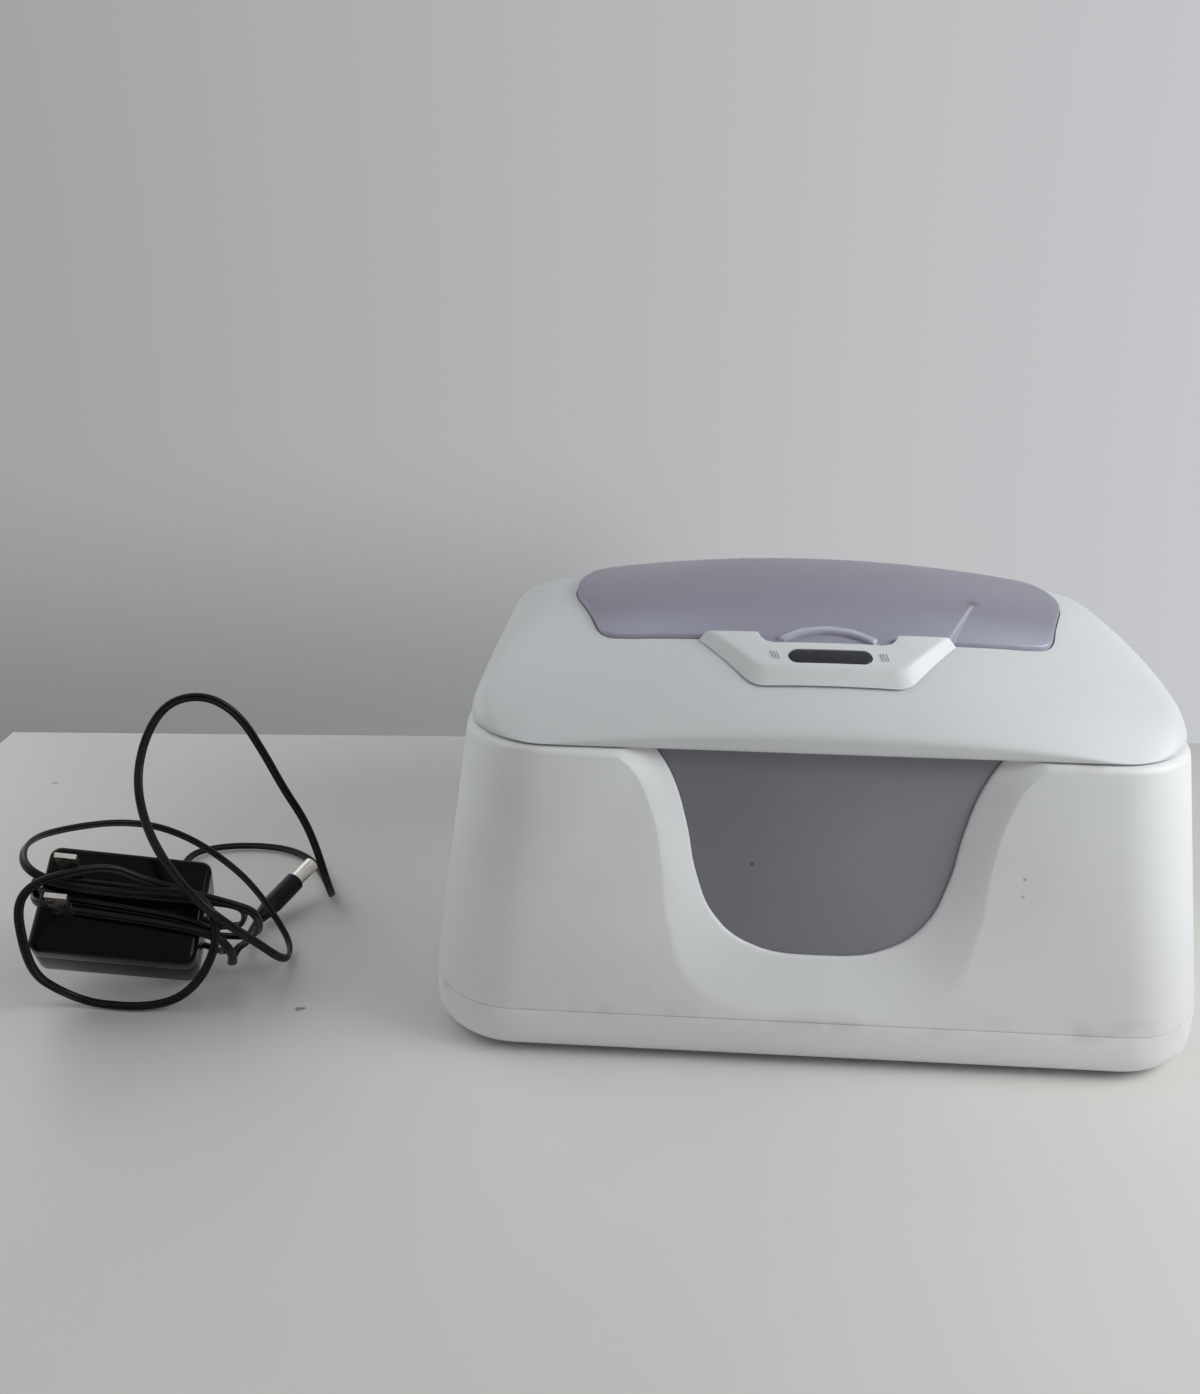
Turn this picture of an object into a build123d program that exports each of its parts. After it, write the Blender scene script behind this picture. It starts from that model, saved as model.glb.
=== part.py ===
"""Baby wipe warmer with its plug-in power supply: lid, flip cover, heated tub, base and cord.

Units are millimetres and +Z is up. The origin is on the table under the middle of the warmer.
The front, with the window, faces -Y, and +X is to the right of someone who looks at the front.
"""
import math
import os

from build123d import *

# ---- Driving dimensions of the warmer ----
base_width = 236.0
base_depth = 178.0
base_corner = 28.0
rim_width = 217.0
rim_depth = 150.0
rim_corner = 27.0
rim_height = 96.4
band_height = 16.5
wall = 2.4
seam_gap = 0.3

# ---- Lid ----
lid_width = 215.0
lid_depth = 146.0
lid_corner = 26.0
lid_bottom = 97.0
crown_height = 132.0
crown_radius_y = 114.0
crown_radius_x = 470.0

# ---- Flip cover, bezel and button on the lid ----
cover_proud = 0.8
cover_thickness = 2.2
cover_gap = 0.3
ledge_thickness = 2.2
cover_front_half = 67.5
cover_front_y = -40.6
cover_nose_y = -46.2
cover_side_half = 78.3
cover_rear_half = 60.0
cover_rear_y = 32.6
cover_hinge_y = 36.0
cover_knuckle_radius = 2.2
cover_knuckle_x = 18.0
cover_knuckle_length = 8.0
cover_ear_thickness = 2.5
cover_pin_radius = 0.9
trough_depth = 7.0
bezel_height = 2.8
bezel_top_half = 38.0
bezel_bottom_half = 22.6
bezel_rear_y = -46.6
bezel_front_y = -61.6
bezel_rear_half = 36.0
notch_half = 20.0
notch_floor_half = 15.5
notch_front_y = -51.0
button_length = 24.4
button_width = 5.4
button_y = -56.4
button_travel = 1.2
button_gap = 0.1
switch_board_depth = 11.0

# ---- Window in the front wall ----
scoop_depth = 5.0
window_thickness = 2.0
window_recess = 1.0
window_flange = 3.0
window_lip = 1.4

# ---- Tub and heater ----
tub_rim_width = 210.0
tub_rim_depth = 129.0
tub_rim_corner = 20.0
tub_rim_height = 93.5
tub_rim_thickness = 2.0
tub_mouth_width = 196.0
tub_mouth_depth = 112.0
tub_floor_width = 186.0
tub_floor_depth = 102.0
tub_floor_height = 28.0
tub_corner = 18.0
tub_wall = 2.0
tub_bead = 1.2
heat_plate_width = 176.0
heat_plate_depth = 92.0
heat_plate_thickness = 1.5
heater_thickness = 1.0
pad_thickness = 4.0
tray_thickness = 1.4

# ---- Base ----
foot_stand = 1.5
foot_radius = 7.0
foot_inset = 1.2
foot_x = 84.0
foot_y = 60.0
base_round = 7.0
post_x = rim_width / 2 - 9.5
post_y = rim_depth / 2 - 14.0
post_radius = 4.0
post_rib_thickness = 1.6
screw_radius = 1.4
screw_head_radius = 2.8
screw_head_height = 2.0
screw_length = 16.0
tongue_height = 2.0
tongue_thickness = 1.4

# ---- Electronics ----
board_thickness = 1.6
board_standoff = 2.0
board_x = 40.0
board_width = 80.0
board_depth = 50.0
chip_height = 2.0
capacitor_radius = 3.0
capacitor_height = 7.0
jack_width = 9.0
jack_depth = 12.0
jack_height = 9.0
jack_bore_radius = 3.0
jack_pin_radius = 1.0
lamp_board_width = 96.0
lamp_board_depth = 10.0
lamp_board_height = 12.0
lamp_board_y = 19.0 - base_depth / 2
lead_radius = 0.8

# ---- Lid hinge ----
lid_hinge_y = 78.6
lid_hinge_z = 98.8
lid_hinge_x = 60.0
lid_knuckle_radius = 3.2
lid_knuckle_length = 12.0
lid_ear_thickness = 4.0
lid_ear_gap = 0.3
lid_pin_radius = 1.5
pin_clearance = 0.05

# ---- Power supply and cord ----
supply_width = 50.0
supply_height = 34.0
supply_thickness = 25.0
supply_round = 3.0
supply_wall = 2.0
supply_split = 9.0
supply_center = (-217.5, -68.5, 34.6)
supply_long_axis = (0.962, 0.201, -0.183)
supply_face_axis = (0.271, -0.639, 0.720)
prong_x = -16.5
prong_y = 1.8
prong_spacing = 12.7
prong_width = 6.35
prong_thickness = 1.5
prong_length = 17.0
winding_width = 10.6
winding_front = 4.6
winding_right = 8.0
winding_gap = 0.3
cord_diameter = 3.0
plug_boot_radius = 3.6
plug_boot_length = 20.2
plug_sleeve_radius = 2.75
plug_sleeve_length = 9.5
plug_bore_radius = 1.05
plug_base = (-191.3, -22.0, 3.9)
plug_direction = (0.40, 0.873, 0.278)

crown_axis_z = crown_height - crown_radius_y
crown_sweep_z = crown_height - crown_radius_x
foot_z = foot_stand
floor_top = foot_stand + wall


def rounded_slab(width, depth, corner, low, high):
    """A closed solid with a rounded-rectangle plan, between two heights."""
    with BuildPart() as slab:
        with BuildSketch(Plane.XY.offset(low)):
            RectangleRounded(width, depth, corner)
        extrude(amount=high - low)
    return slab.part


def tapered_block(sections):
    """A straight-sided loft through (width, depth, corner, height) sections."""
    with BuildPart() as block:
        for width, depth, corner, height in sections:
            with BuildSketch(Plane.XY.offset(height)):
                RectangleRounded(width, depth, corner)
        loft(ruled=True)
    return block.part


def body_block(inset, low, high):
    """The drafted body between two heights, inset by a wall thickness on every side."""
    def section(height):
        share = (height - band_height) / (rim_height - band_height)
        width = base_width + (rim_width - base_width) * share
        depth = base_depth + (rim_depth - base_depth) * share
        corner = base_corner + (rim_corner - base_corner) * share
        return width - 2 * inset, depth - 2 * inset, corner - inset, height
    return tapered_block([section(low), section(high)])


def crown_height_at(x, y, rise=0.0):
    """Height of the lid's crown above a point of its plan, plus a rise along its normal."""
    profile = crown_axis_z + math.sqrt((crown_radius_y + rise) ** 2 - y ** 2)
    return crown_sweep_z + math.sqrt((profile - crown_sweep_z) ** 2 - x ** 2)


def crown_solid(rise):
    """All that lies under the lid's crowned surface, raised or lowered along its normal."""
    radius = crown_radius_y + rise
    sweep_axis = Axis((0, 0, crown_sweep_z), (0, 1, 0))
    with BuildPart() as crown:
        with BuildSketch(Plane.YZ):
            with BuildLine():
                ThreePointArc((-radius, crown_axis_z), (0, crown_axis_z + radius), (radius, crown_axis_z))
                Line((radius, crown_axis_z), (-radius, crown_axis_z))
            make_face()
        revolve(axis=sweep_axis, revolution_arc=36)
    return crown.part.rotate(sweep_axis, -18)


def shoulder_solid(inset):
    """The lid's plan with its rounded left and right shoulders, before the crown is cut."""
    shoulder = (
        (0.0, 0.0, 0.0, lid_bottom),
        (1.0, 0.0, 0.0, lid_bottom + 4.0),
        (3.5, 0.0, 0.5, lid_bottom + 8.0),
        (7.0, 0.2, 1.0, lid_bottom + 12.0),
        (11.5, 0.5, 2.0, lid_bottom + 15.8),
        (17.5, 0.8, 3.0, lid_bottom + 19.5),
        (25.5, 1.1, 4.0, lid_bottom + 23.2),
        (35.5, 1.6, 5.0, lid_bottom + 26.6),
        (48.0, 2.2, 6.0, lid_bottom + 29.7),
        (66.0, 3.0, 7.0, lid_bottom + 33.2),
        (95.0, 4.0, 8.0, lid_bottom + 38.0),
    )
    return tapered_block([
        (lid_width - narrower - 2 * inset, lid_depth - shallower - 2 * inset,
         lid_corner + rounder - inset, height)
        for narrower, shallower, rounder, height in shoulder])


# Right half of the flip cover's plan, from the middle of its front edge to its rear edge:
# each row is a point and the direction in which it moves when the outline grows.
cover_half_outline = (
    (0.0, cover_nose_y, 0.0, -1.0),
    (cover_front_half, cover_front_y, 0.733, -0.891),
    (73.0, -26.0, 0.95, -0.31),
    (cover_side_half, -5.0, 1.0, 0.0),
    (76.5, 12.0, 0.97, 0.24),
    (72.0, 25.2, 0.72, 0.69),
    (cover_rear_half, cover_rear_y, 0.0, 1.0),
)


def cover_outline(grow, trough=0.0):
    """Plan of the flip cover, grown outwards, with a hinge trough of some depth behind it."""
    right = [(x + grow * out_x, y + grow * out_y) for x, y, out_x, out_y in cover_half_outline]
    left = [(-x, y) for x, y in right]
    with BuildSketch() as outline:
        with BuildLine():
            ThreePointArc(left[1], right[0], right[1])
            for half in (right, left):
                Line(half[1], half[2])
                ThreePointArc(half[2], half[3], half[4])
                ThreePointArc(half[4], half[5], half[6])
            if trough > 0:
                trough_y = cover_rear_y + trough
                Polyline(right[6], (right[6][0], trough_y), (left[6][0], trough_y), left[6])
            else:
                Line(right[6], left[6])
        make_face()
    return outline.sketch


def column(sketch, low, high):
    """A sketch on the XY plane pulled up between two heights."""
    return extrude(Plane.XY.offset(low) * sketch, amount=high - low, mode=Mode.PRIVATE)


def front_plane(depth):
    """Plane of the leaning front wall: x to the right, y up the wall, moved inwards by depth."""
    lean = math.atan2((base_depth - rim_depth) / 2, rim_height - band_height)
    normal = Vector(0, -math.cos(lean), math.sin(lean))
    origin = Vector(0, -rim_depth / 2, rim_height) - normal * depth
    return Plane(origin=origin, x_dir=(1, 0, 0), z_dir=normal)


window_half_outline = ((49.5, 4.0), (43.0, -8.0), (39.0, -25.0), (34.5, -42.0), (23.0, -56.5))
window_floor = -60.8
scoop_half_outline = ((70.0, 4.0), (54.0, -12.0), (48.6, -32.0), (43.5, -56.0), (28.0, -73.0))
scoop_floor = -77.6


def u_sketch(plane, half_outline, floor, grow):
    """A U-shaped face on a plane, open side up, grown outwards."""
    right = [(x + grow, y - grow * (0.0 if i == 0 else 0.3)) for i, (x, y) in enumerate(half_outline)]
    left = [(-x, y) for x, y in reversed(right)]
    with BuildSketch(plane) as sketch:
        with BuildLine():
            Spline(*right, (0, floor - grow), *left)
            Line(left[-1], right[0])
        make_face()
    return sketch.sketch


def scoop_block(grow, outer, inner):
    """The scoop round the window, from outside the front wall in to the window's edge."""
    face = u_sketch(front_plane(outer), scoop_half_outline, scoop_floor, grow)
    edge = u_sketch(front_plane(inner), window_half_outline, window_floor, grow)
    return loft([face, edge], ruled=True, mode=Mode.PRIVATE)


os.makedirs("parts", exist_ok=True)

# ---- Bottom cover: the base tray that the feet and boards are fixed to ----
jack_axis_z = floor_top + board_standoff + board_thickness + jack_height / 2
board_y = base_depth / 2 - wall - 0.4 - board_depth / 2
board_low = floor_top + board_standoff
lamp_post_x = lamp_board_width / 2 - 6
tongue_inset = wall + 0.25
with BuildPart() as bottom_cover:
    add(rounded_slab(base_width, base_depth, base_corner, foot_z, band_height))
    fillet(bottom_cover.edges().group_by(Axis.Z)[0], radius=base_round)
    add(rounded_slab(base_width - 2 * wall, base_depth - 2 * wall, base_corner - wall,
                     floor_top, band_height), mode=Mode.SUBTRACT)
    with BuildSketch(Plane.XY.offset(band_height - 4)):
        RectangleRounded(base_width - 2 * wall, base_depth - 2 * wall, base_corner - wall)
        RectangleRounded(base_width - 2 * tongue_inset - 2 * tongue_thickness,
                         base_depth - 2 * tongue_inset - 2 * tongue_thickness,
                         base_corner - tongue_inset - tongue_thickness, mode=Mode.SUBTRACT)
    extrude(amount=4)
    with BuildSketch(Plane.XY.offset(band_height)):
        RectangleRounded(base_width - 2 * tongue_inset - 0.8, base_depth - 2 * tongue_inset - 0.8,
                         base_corner - tongue_inset)
        RectangleRounded(base_width - 2 * tongue_inset - 2 * tongue_thickness,
                         base_depth - 2 * tongue_inset - 2 * tongue_thickness,
                         base_corner - tongue_inset - tongue_thickness, mode=Mode.SUBTRACT)
    extrude(amount=tongue_height)
    with BuildSketch(Plane.XY.offset(foot_z)):
        with GridLocations(2 * post_x, 2 * post_y, 2, 2):
            Circle(post_radius + 0.8)
    extrude(amount=band_height - foot_z)
    with BuildSketch(Plane.XY.offset(foot_z)):
        with GridLocations(2 * post_x, 2 * post_y, 2, 2):
            Circle(screw_head_radius + 0.4)
    extrude(amount=4.0, mode=Mode.SUBTRACT)
    with BuildSketch(Plane.XY.offset(foot_z)):
        with GridLocations(2 * post_x, 2 * post_y, 2, 2):
            Circle(screw_radius + 0.2)
    extrude(amount=band_height, mode=Mode.SUBTRACT)
    with BuildSketch(Plane.XY.offset(foot_z)):
        with GridLocations(2 * foot_x, 2 * foot_y, 2, 2):
            Circle(foot_radius)
    extrude(amount=foot_inset, mode=Mode.SUBTRACT)
    with BuildSketch(Plane.XY.offset(floor_top)):
        with Locations((board_x, board_y)):
            with GridLocations(board_width - 8, board_depth - 8, 2, 2):
                Circle(2.6)
    extrude(amount=board_standoff)
    with BuildSketch(Plane.XY.offset(floor_top)):
        with Locations((0, lamp_board_y)):
            with GridLocations(2 * lamp_post_x, 1, 2, 1):
                Circle(2.6)
    extrude(amount=lamp_board_height - floor_top)
    with BuildSketch(Plane.XY.offset(floor_top)):
        with Locations((board_x, base_depth / 2 - wall - 5)):
            Rectangle(jack_width + 1, 10)
    extrude(amount=base_round + band_height, mode=Mode.SUBTRACT)
    with BuildSketch(Plane.XZ.offset(-base_depth / 2 - 1)):
        with Locations((board_x, jack_axis_z)):
            Circle(jack_bore_radius + 1.2)
    extrude(amount=wall + 3, mode=Mode.SUBTRACT)
bottom_cover.part.label = "bottom_cover"
export_step(bottom_cover.part, "parts/bottom_cover.step")

# ---- Rubber feet, pressed into round recesses under the base ----
with BuildPart() as rubber_feet:
    with BuildSketch():
        with GridLocations(2 * foot_x, 2 * foot_y, 2, 2):
            Circle(foot_radius)
    extrude(amount=foot_stand + foot_inset)
    fillet(rubber_feet.edges().group_by(Axis.Z)[0], radius=0.6)
rubber_feet.part.label = "rubber_feet"
export_step(rubber_feet.part, "parts/rubber_feet.step")

# ---- Base screws, up through the tray into the housing's posts ----
screw_seat = foot_z + 4.0
with BuildPart() as base_screws:
    with BuildSketch(Plane.XY.offset(screw_seat - screw_head_height)):
        with GridLocations(2 * post_x, 2 * post_y, 2, 2):
            Circle(screw_head_radius)
    extrude(amount=screw_head_height)
    with BuildSketch(Plane.XY.offset(screw_seat)):
        with GridLocations(2 * post_x, 2 * post_y, 2, 2):
            Circle(screw_radius)
    extrude(amount=screw_length)
    with BuildSketch(Plane.XY.offset(screw_seat - screw_head_height)):
        with GridLocations(2 * post_x, 2 * post_y, 2, 2):
            Rectangle(3.2, 0.7)
            Rectangle(0.7, 3.2)
    extrude(amount=1.0, mode=Mode.SUBTRACT)
base_screws.part.label = "base_screws"
export_step(base_screws.part, "parts/base_screws.step")

# ---- Outer housing: the drafted body with the scooped front and the rear hinge ears ----
housing_low = band_height + seam_gap
post_top = tub_rim_height - tub_rim_thickness
rib_low = housing_low + tongue_height + 0.5
ear_inner = lid_knuckle_length / 2 + lid_ear_gap
with BuildPart() as outer_housing:
    add(body_block(0, housing_low, rim_height))
    fillet(outer_housing.edges().group_by(Axis.Z)[-1], radius=1.2)
    add(body_block(wall, housing_low - 1, rim_height + 1), mode=Mode.SUBTRACT)
    with BuildSketch(Plane.XY.offset(housing_low)):
        with GridLocations(2 * post_x, 2 * post_y, 2, 2):
            Circle(post_radius)
    extrude(amount=post_top - housing_low)
    with BuildSketch(Plane.XY.offset(rib_low)):
        with GridLocations(2 * post_x + base_width / 2, 2 * post_y, 2, 2):
            Rectangle(base_width / 2, post_rib_thickness)
    ribs = extrude(amount=post_top - rib_low, mode=Mode.PRIVATE)
    add(ribs & body_block(0.5, housing_low, rim_height - 0.5))
    scoop_wall = scoop_block(wall, 0.4, scoop_depth + wall)
    add(scoop_wall & body_block(0.5, housing_low, rim_height - 0.5))
    add(scoop_block(0, -1.0, scoop_depth), mode=Mode.SUBTRACT)
    extrude(u_sketch(front_plane(scoop_depth - 0.5), window_half_outline, window_floor, 0),
            amount=-(wall + 3), mode=Mode.SUBTRACT)
    with BuildSketch(Plane.XY.offset(housing_low - 1)):
        with GridLocations(2 * post_x, 2 * post_y, 2, 2):
            Circle(screw_radius + 0.05)
    extrude(amount=screw_length, mode=Mode.SUBTRACT)
    for side in (-1, 1):
        for edge in (-1, 1):
            ear_x = side * lid_hinge_x + edge * (ear_inner + lid_ear_thickness / 2)
            with BuildSketch(Plane.YZ.offset(ear_x - lid_ear_thickness / 2)) as ear_profile:
                with Locations((lid_hinge_y, lid_hinge_z)):
                    Circle(lid_knuckle_radius)
                with Locations((rim_depth / 2 + 0.4, rim_height - 8)):
                    Rectangle(2.0, 14.0)
                make_hull()
            extrude(amount=lid_ear_thickness)
    with BuildSketch(Plane.YZ.offset(-lid_hinge_x - 20)):
        with Locations((lid_hinge_y, lid_hinge_z)):
            Circle(lid_pin_radius + 0.02)
    extrude(amount=2 * lid_hinge_x + 40, mode=Mode.SUBTRACT)
outer_housing.part.label = "outer_housing"
export_step(outer_housing.part, "parts/outer_housing.step")

# ---- Front window: a tinted pane clipped behind the scoop, flush with the housing's rim ----
pane_front = scoop_depth + window_recess
flange_front = scoop_depth + wall + 0.05
with BuildPart() as front_window:
    extrude(u_sketch(front_plane(pane_front), window_half_outline, window_floor, -0.15),
            amount=-(flange_front - pane_front))
    extrude(u_sketch(front_plane(flange_front), window_half_outline, window_floor, window_flange),
            amount=-window_thickness)
    add(rounded_slab(base_width, base_depth, base_corner, rim_height - 0.3, rim_height + 30),
        mode=Mode.SUBTRACT)
front_window.part.label = "front_window"
export_step(front_window.part, "parts/front_window.step")

# ---- Lid hinge pins ----
pin_length = 2 * (ear_inner + lid_ear_thickness)
with BuildPart() as lid_hinge_pins:
    for side in (-1, 1):
        with BuildSketch(Plane.YZ.offset(side * lid_hinge_x - pin_length / 2)):
            with Locations((lid_hinge_y, lid_hinge_z)):
                Circle(lid_pin_radius)
        extrude(amount=pin_length)
lid_hinge_pins.part.label = "lid_hinge_pins"
export_step(lid_hinge_pins.part, "parts/lid_hinge_pins.step")

# ---- Inner tub: the basin that holds the stack of wipes, hung on its rim ----
with BuildPart() as inner_tub:
    add(rounded_slab(tub_rim_width, tub_rim_depth, tub_rim_corner, post_top, tub_rim_height))
    add(tapered_block([
        (tub_floor_width + 2 * tub_wall, tub_floor_depth + 2 * tub_wall, tub_corner,
         tub_floor_height - tub_wall),
        (tub_mouth_width + 2 * tub_wall, tub_mouth_depth + 2 * tub_wall, tub_corner + tub_wall,
         tub_rim_height + tub_bead)]))
    add(tapered_block([
        (tub_floor_width, tub_floor_depth, tub_corner - tub_wall, tub_floor_height),
        (tub_mouth_width, tub_mouth_depth, tub_corner, tub_rim_height + tub_bead)]),
        mode=Mode.SUBTRACT)
inner_tub.part.label = "inner_tub"
export_step(inner_tub.part, "parts/inner_tub.step")

# ---- Heater stack under the tub: spreader plate, foil heater, insulation and tray ----
plate_top = tub_floor_height - tub_wall
heater_top = plate_top - heat_plate_thickness
pad_top = heater_top - heater_thickness
tray_top = pad_top - pad_thickness
sensor_x = -30.0
lead_x = (24.0, 30.0)
lead_y = 40.0
lead_slot = lead_radius + 0.3


def lead_holes():
    """Holes for the two heater leads, in the open sketch."""
    with Locations(*[(x, lead_y) for x in lead_x]):
        Circle(lead_slot, mode=Mode.SUBTRACT)


with BuildPart() as heat_plate:
    with BuildSketch(Plane.XY.offset(heater_top)):
        RectangleRounded(heat_plate_width, heat_plate_depth, 8)
    extrude(amount=heat_plate_thickness)
heat_plate.part.label = "heat_plate"
export_step(heat_plate.part, "parts/heat_plate.step")

with BuildPart() as foil_heater:
    with BuildSketch(Plane.XY.offset(pad_top)):
        RectangleRounded(heat_plate_width - 8, heat_plate_depth - 6, 6)
    extrude(amount=heater_thickness)
foil_heater.part.label = "foil_heater"
export_step(foil_heater.part, "parts/foil_heater.step")

with BuildPart() as insulation_pad:
    with BuildSketch(Plane.XY.offset(tray_top)):
        RectangleRounded(heat_plate_width, heat_plate_depth, 8)
        with Locations((sensor_x, 0)):
            Circle(6.4, mode=Mode.SUBTRACT)
        with Locations((-sensor_x, 0)):
            Rectangle(14.4, 5.0, mode=Mode.SUBTRACT)
        lead_holes()
    extrude(amount=pad_thickness)
insulation_pad.part.label = "insulation_pad"
export_step(insulation_pad.part, "parts/insulation_pad.step")

with BuildPart() as heater_tray:
    with BuildSketch(Plane.XY.offset(tray_top - tray_thickness)):
        RectangleRounded(heat_plate_width + 6, heat_plate_depth + 6, 10)
        lead_holes()
    extrude(amount=tray_thickness)
    with BuildSketch(Plane.XY.offset(tray_top)):
        RectangleRounded(heat_plate_width + 6, heat_plate_depth + 6, 10)
        RectangleRounded(heat_plate_width + 2, heat_plate_depth + 2, 8.5, mode=Mode.SUBTRACT)
    extrude(amount=plate_top - tray_top)
heater_tray.part.label = "heater_tray"
export_step(heater_tray.part, "parts/heater_tray.step")

with BuildPart() as thermostat:
    with BuildSketch(Plane.XY.offset(tray_top)):
        with Locations((sensor_x, 0)):
            Circle(6.0)
    extrude(amount=pad_thickness)
    fillet(thermostat.edges().group_by(Axis.Z)[0], radius=0.8)
thermostat.part.label = "thermostat"
export_step(thermostat.part, "parts/thermostat.step")

with BuildPart() as thermal_fuse:
    with BuildSketch(Plane.YZ.offset(-sensor_x - 6)):
        with Locations((0, tray_top + pad_thickness / 2)):
            Circle(pad_thickness / 2)
    extrude(amount=12)
thermal_fuse.part.label = "thermal_fuse"
export_step(thermal_fuse.part, "parts/thermal_fuse.step")

# ---- Control board with its power jack, and the strip of lamps behind the window ----
board_top = board_low + board_thickness
with BuildPart() as control_board:
    with BuildSketch(Plane.XY.offset(board_low)):
        with Locations((board_x, board_y)):
            Rectangle(board_width, board_depth)
    extrude(amount=board_thickness)
    with BuildSketch(Plane.XY.offset(board_top)):
        with Locations((board_x - 0.31 * board_width, board_y + 0.16 * board_depth)):
            Rectangle(0.1 * board_width, 0.12 * board_depth)
        with Locations((board_x + 0.28 * board_width, board_y - 0.24 * board_depth)):
            Rectangle(0.125 * board_width, 0.2 * board_depth)
    extrude(amount=chip_height)
    with BuildSketch(Plane.XY.offset(board_top)):
        with Locations((board_x + 0.32 * board_width, board_y + 0.16 * board_depth),
                       (board_x - 0.15 * board_width, board_y + 0.24 * board_depth)):
            Circle(capacitor_radius)
    extrude(amount=capacitor_height)
control_board.part.label = "control_board"
export_step(control_board.part, "parts/control_board.step")

jack_face = base_depth / 2 - wall - 0.2
with BuildPart() as dc_jack:
    with BuildSketch(Plane.XY.offset(board_top)):
        with Locations((board_x, jack_face - jack_depth / 2)):
            Rectangle(jack_width, jack_depth)
    extrude(amount=jack_height)
    with BuildSketch(Plane.XZ.offset(-jack_face)):
        with Locations((board_x, jack_axis_z)):
            Circle(jack_bore_radius)
            Circle(jack_pin_radius, mode=Mode.SUBTRACT)
    extrude(amount=jack_depth - 2, mode=Mode.SUBTRACT)
dc_jack.part.label = "dc_jack"
export_step(dc_jack.part, "parts/dc_jack.step")

with BuildPart() as lamp_board:
    with BuildSketch(Plane.XY.offset(lamp_board_height)):
        with Locations((0, lamp_board_y)):
            Rectangle(lamp_board_width, lamp_board_depth)
    extrude(amount=board_thickness)
    with BuildSketch(Plane.XY.offset(lamp_board_height + board_thickness)):
        with Locations((0, lamp_board_y)):
            with GridLocations(24, 1, 4, 1):
                Rectangle(3.5, 2.8)
    extrude(amount=1.6)
lamp_board.part.label = "lamp_board"
export_step(lamp_board.part, "parts/lamp_board.step")

with BuildPart() as heater_leads:
    with BuildSketch(Plane.XY.offset(board_top)):
        with Locations(*[(x, lead_y) for x in lead_x]):
            Circle(lead_radius)
    extrude(amount=pad_top - board_top)
heater_leads.part.label = "heater_leads"
export_step(heater_leads.part, "parts/heater_leads.step")

lamp_lead_z = lamp_board_height + board_thickness / 2
lamp_lead_start = (board_x - 30, board_y - board_depth / 2 + 4, board_top)
lamp_lead_end = (board_x - 30, lamp_board_y + lamp_board_depth / 2, lamp_lead_z)
with BuildPart() as lamp_lead:
    with BuildLine() as lamp_lead_path:
        FilletPolyline(lamp_lead_start, (lamp_lead_start[0], lamp_lead_start[1], lamp_lead_z),
                       lamp_lead_end, radius=2.0)
    with BuildSketch(Plane(origin=lamp_lead_start, z_dir=(0, 0, 1))):
        Circle(lead_radius)
    sweep()
lamp_lead.part.label = "lamp_lead"
export_step(lamp_lead.part, "parts/lamp_lead.step")

# ---- Lid shell: crowned cover with a sunk seat for the flip cover and its hinge trough ----
seat_rise = cover_proud - cover_thickness - cover_gap
seat_under = seat_rise - ledge_thickness
cover_hinge_z = crown_height_at(0, cover_hinge_y, cover_proud) - cover_knuckle_radius
high = crown_height + 20
crown_outer = crown_solid(0)
lid_outer = shoulder_solid(0) & crown_outer
lid_inner = shoulder_solid(wall) & crown_solid(-wall)
seat_pad = column(cover_outline(wall, trough_depth + wall), lid_bottom, high) - crown_solid(seat_under)
seat_cut = column(cover_outline(cover_gap + 0.1, trough_depth), lid_bottom, high) - crown_solid(seat_rise)
button_normal = Vector(0, button_y, crown_height_at(0, button_y, bezel_height) - crown_axis_z).normalized()
button_top_z = crown_height_at(0, button_y, bezel_height)
button_plane = Plane(origin=(0, button_y, button_top_z), x_dir=(1, 0, 0), z_dir=button_normal)
ear_offset = cover_knuckle_length / 2 + 0.3
lid_boss_x = 86.0
lid_boss_y = 46.0
liner_top = lid_bottom + 2.2
mouth_length = 92.0
mouth_width = 30.0
mouth_y = -4.0
with BuildSketch() as boss_sketch:
    with GridLocations(2 * lid_boss_x, 2 * lid_boss_y, 2, 2):
        Circle(3.6)
lid_bosses = column(boss_sketch.sketch, liner_top, high)
lid_void = lid_inner - seat_pad - lid_bosses
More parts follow.
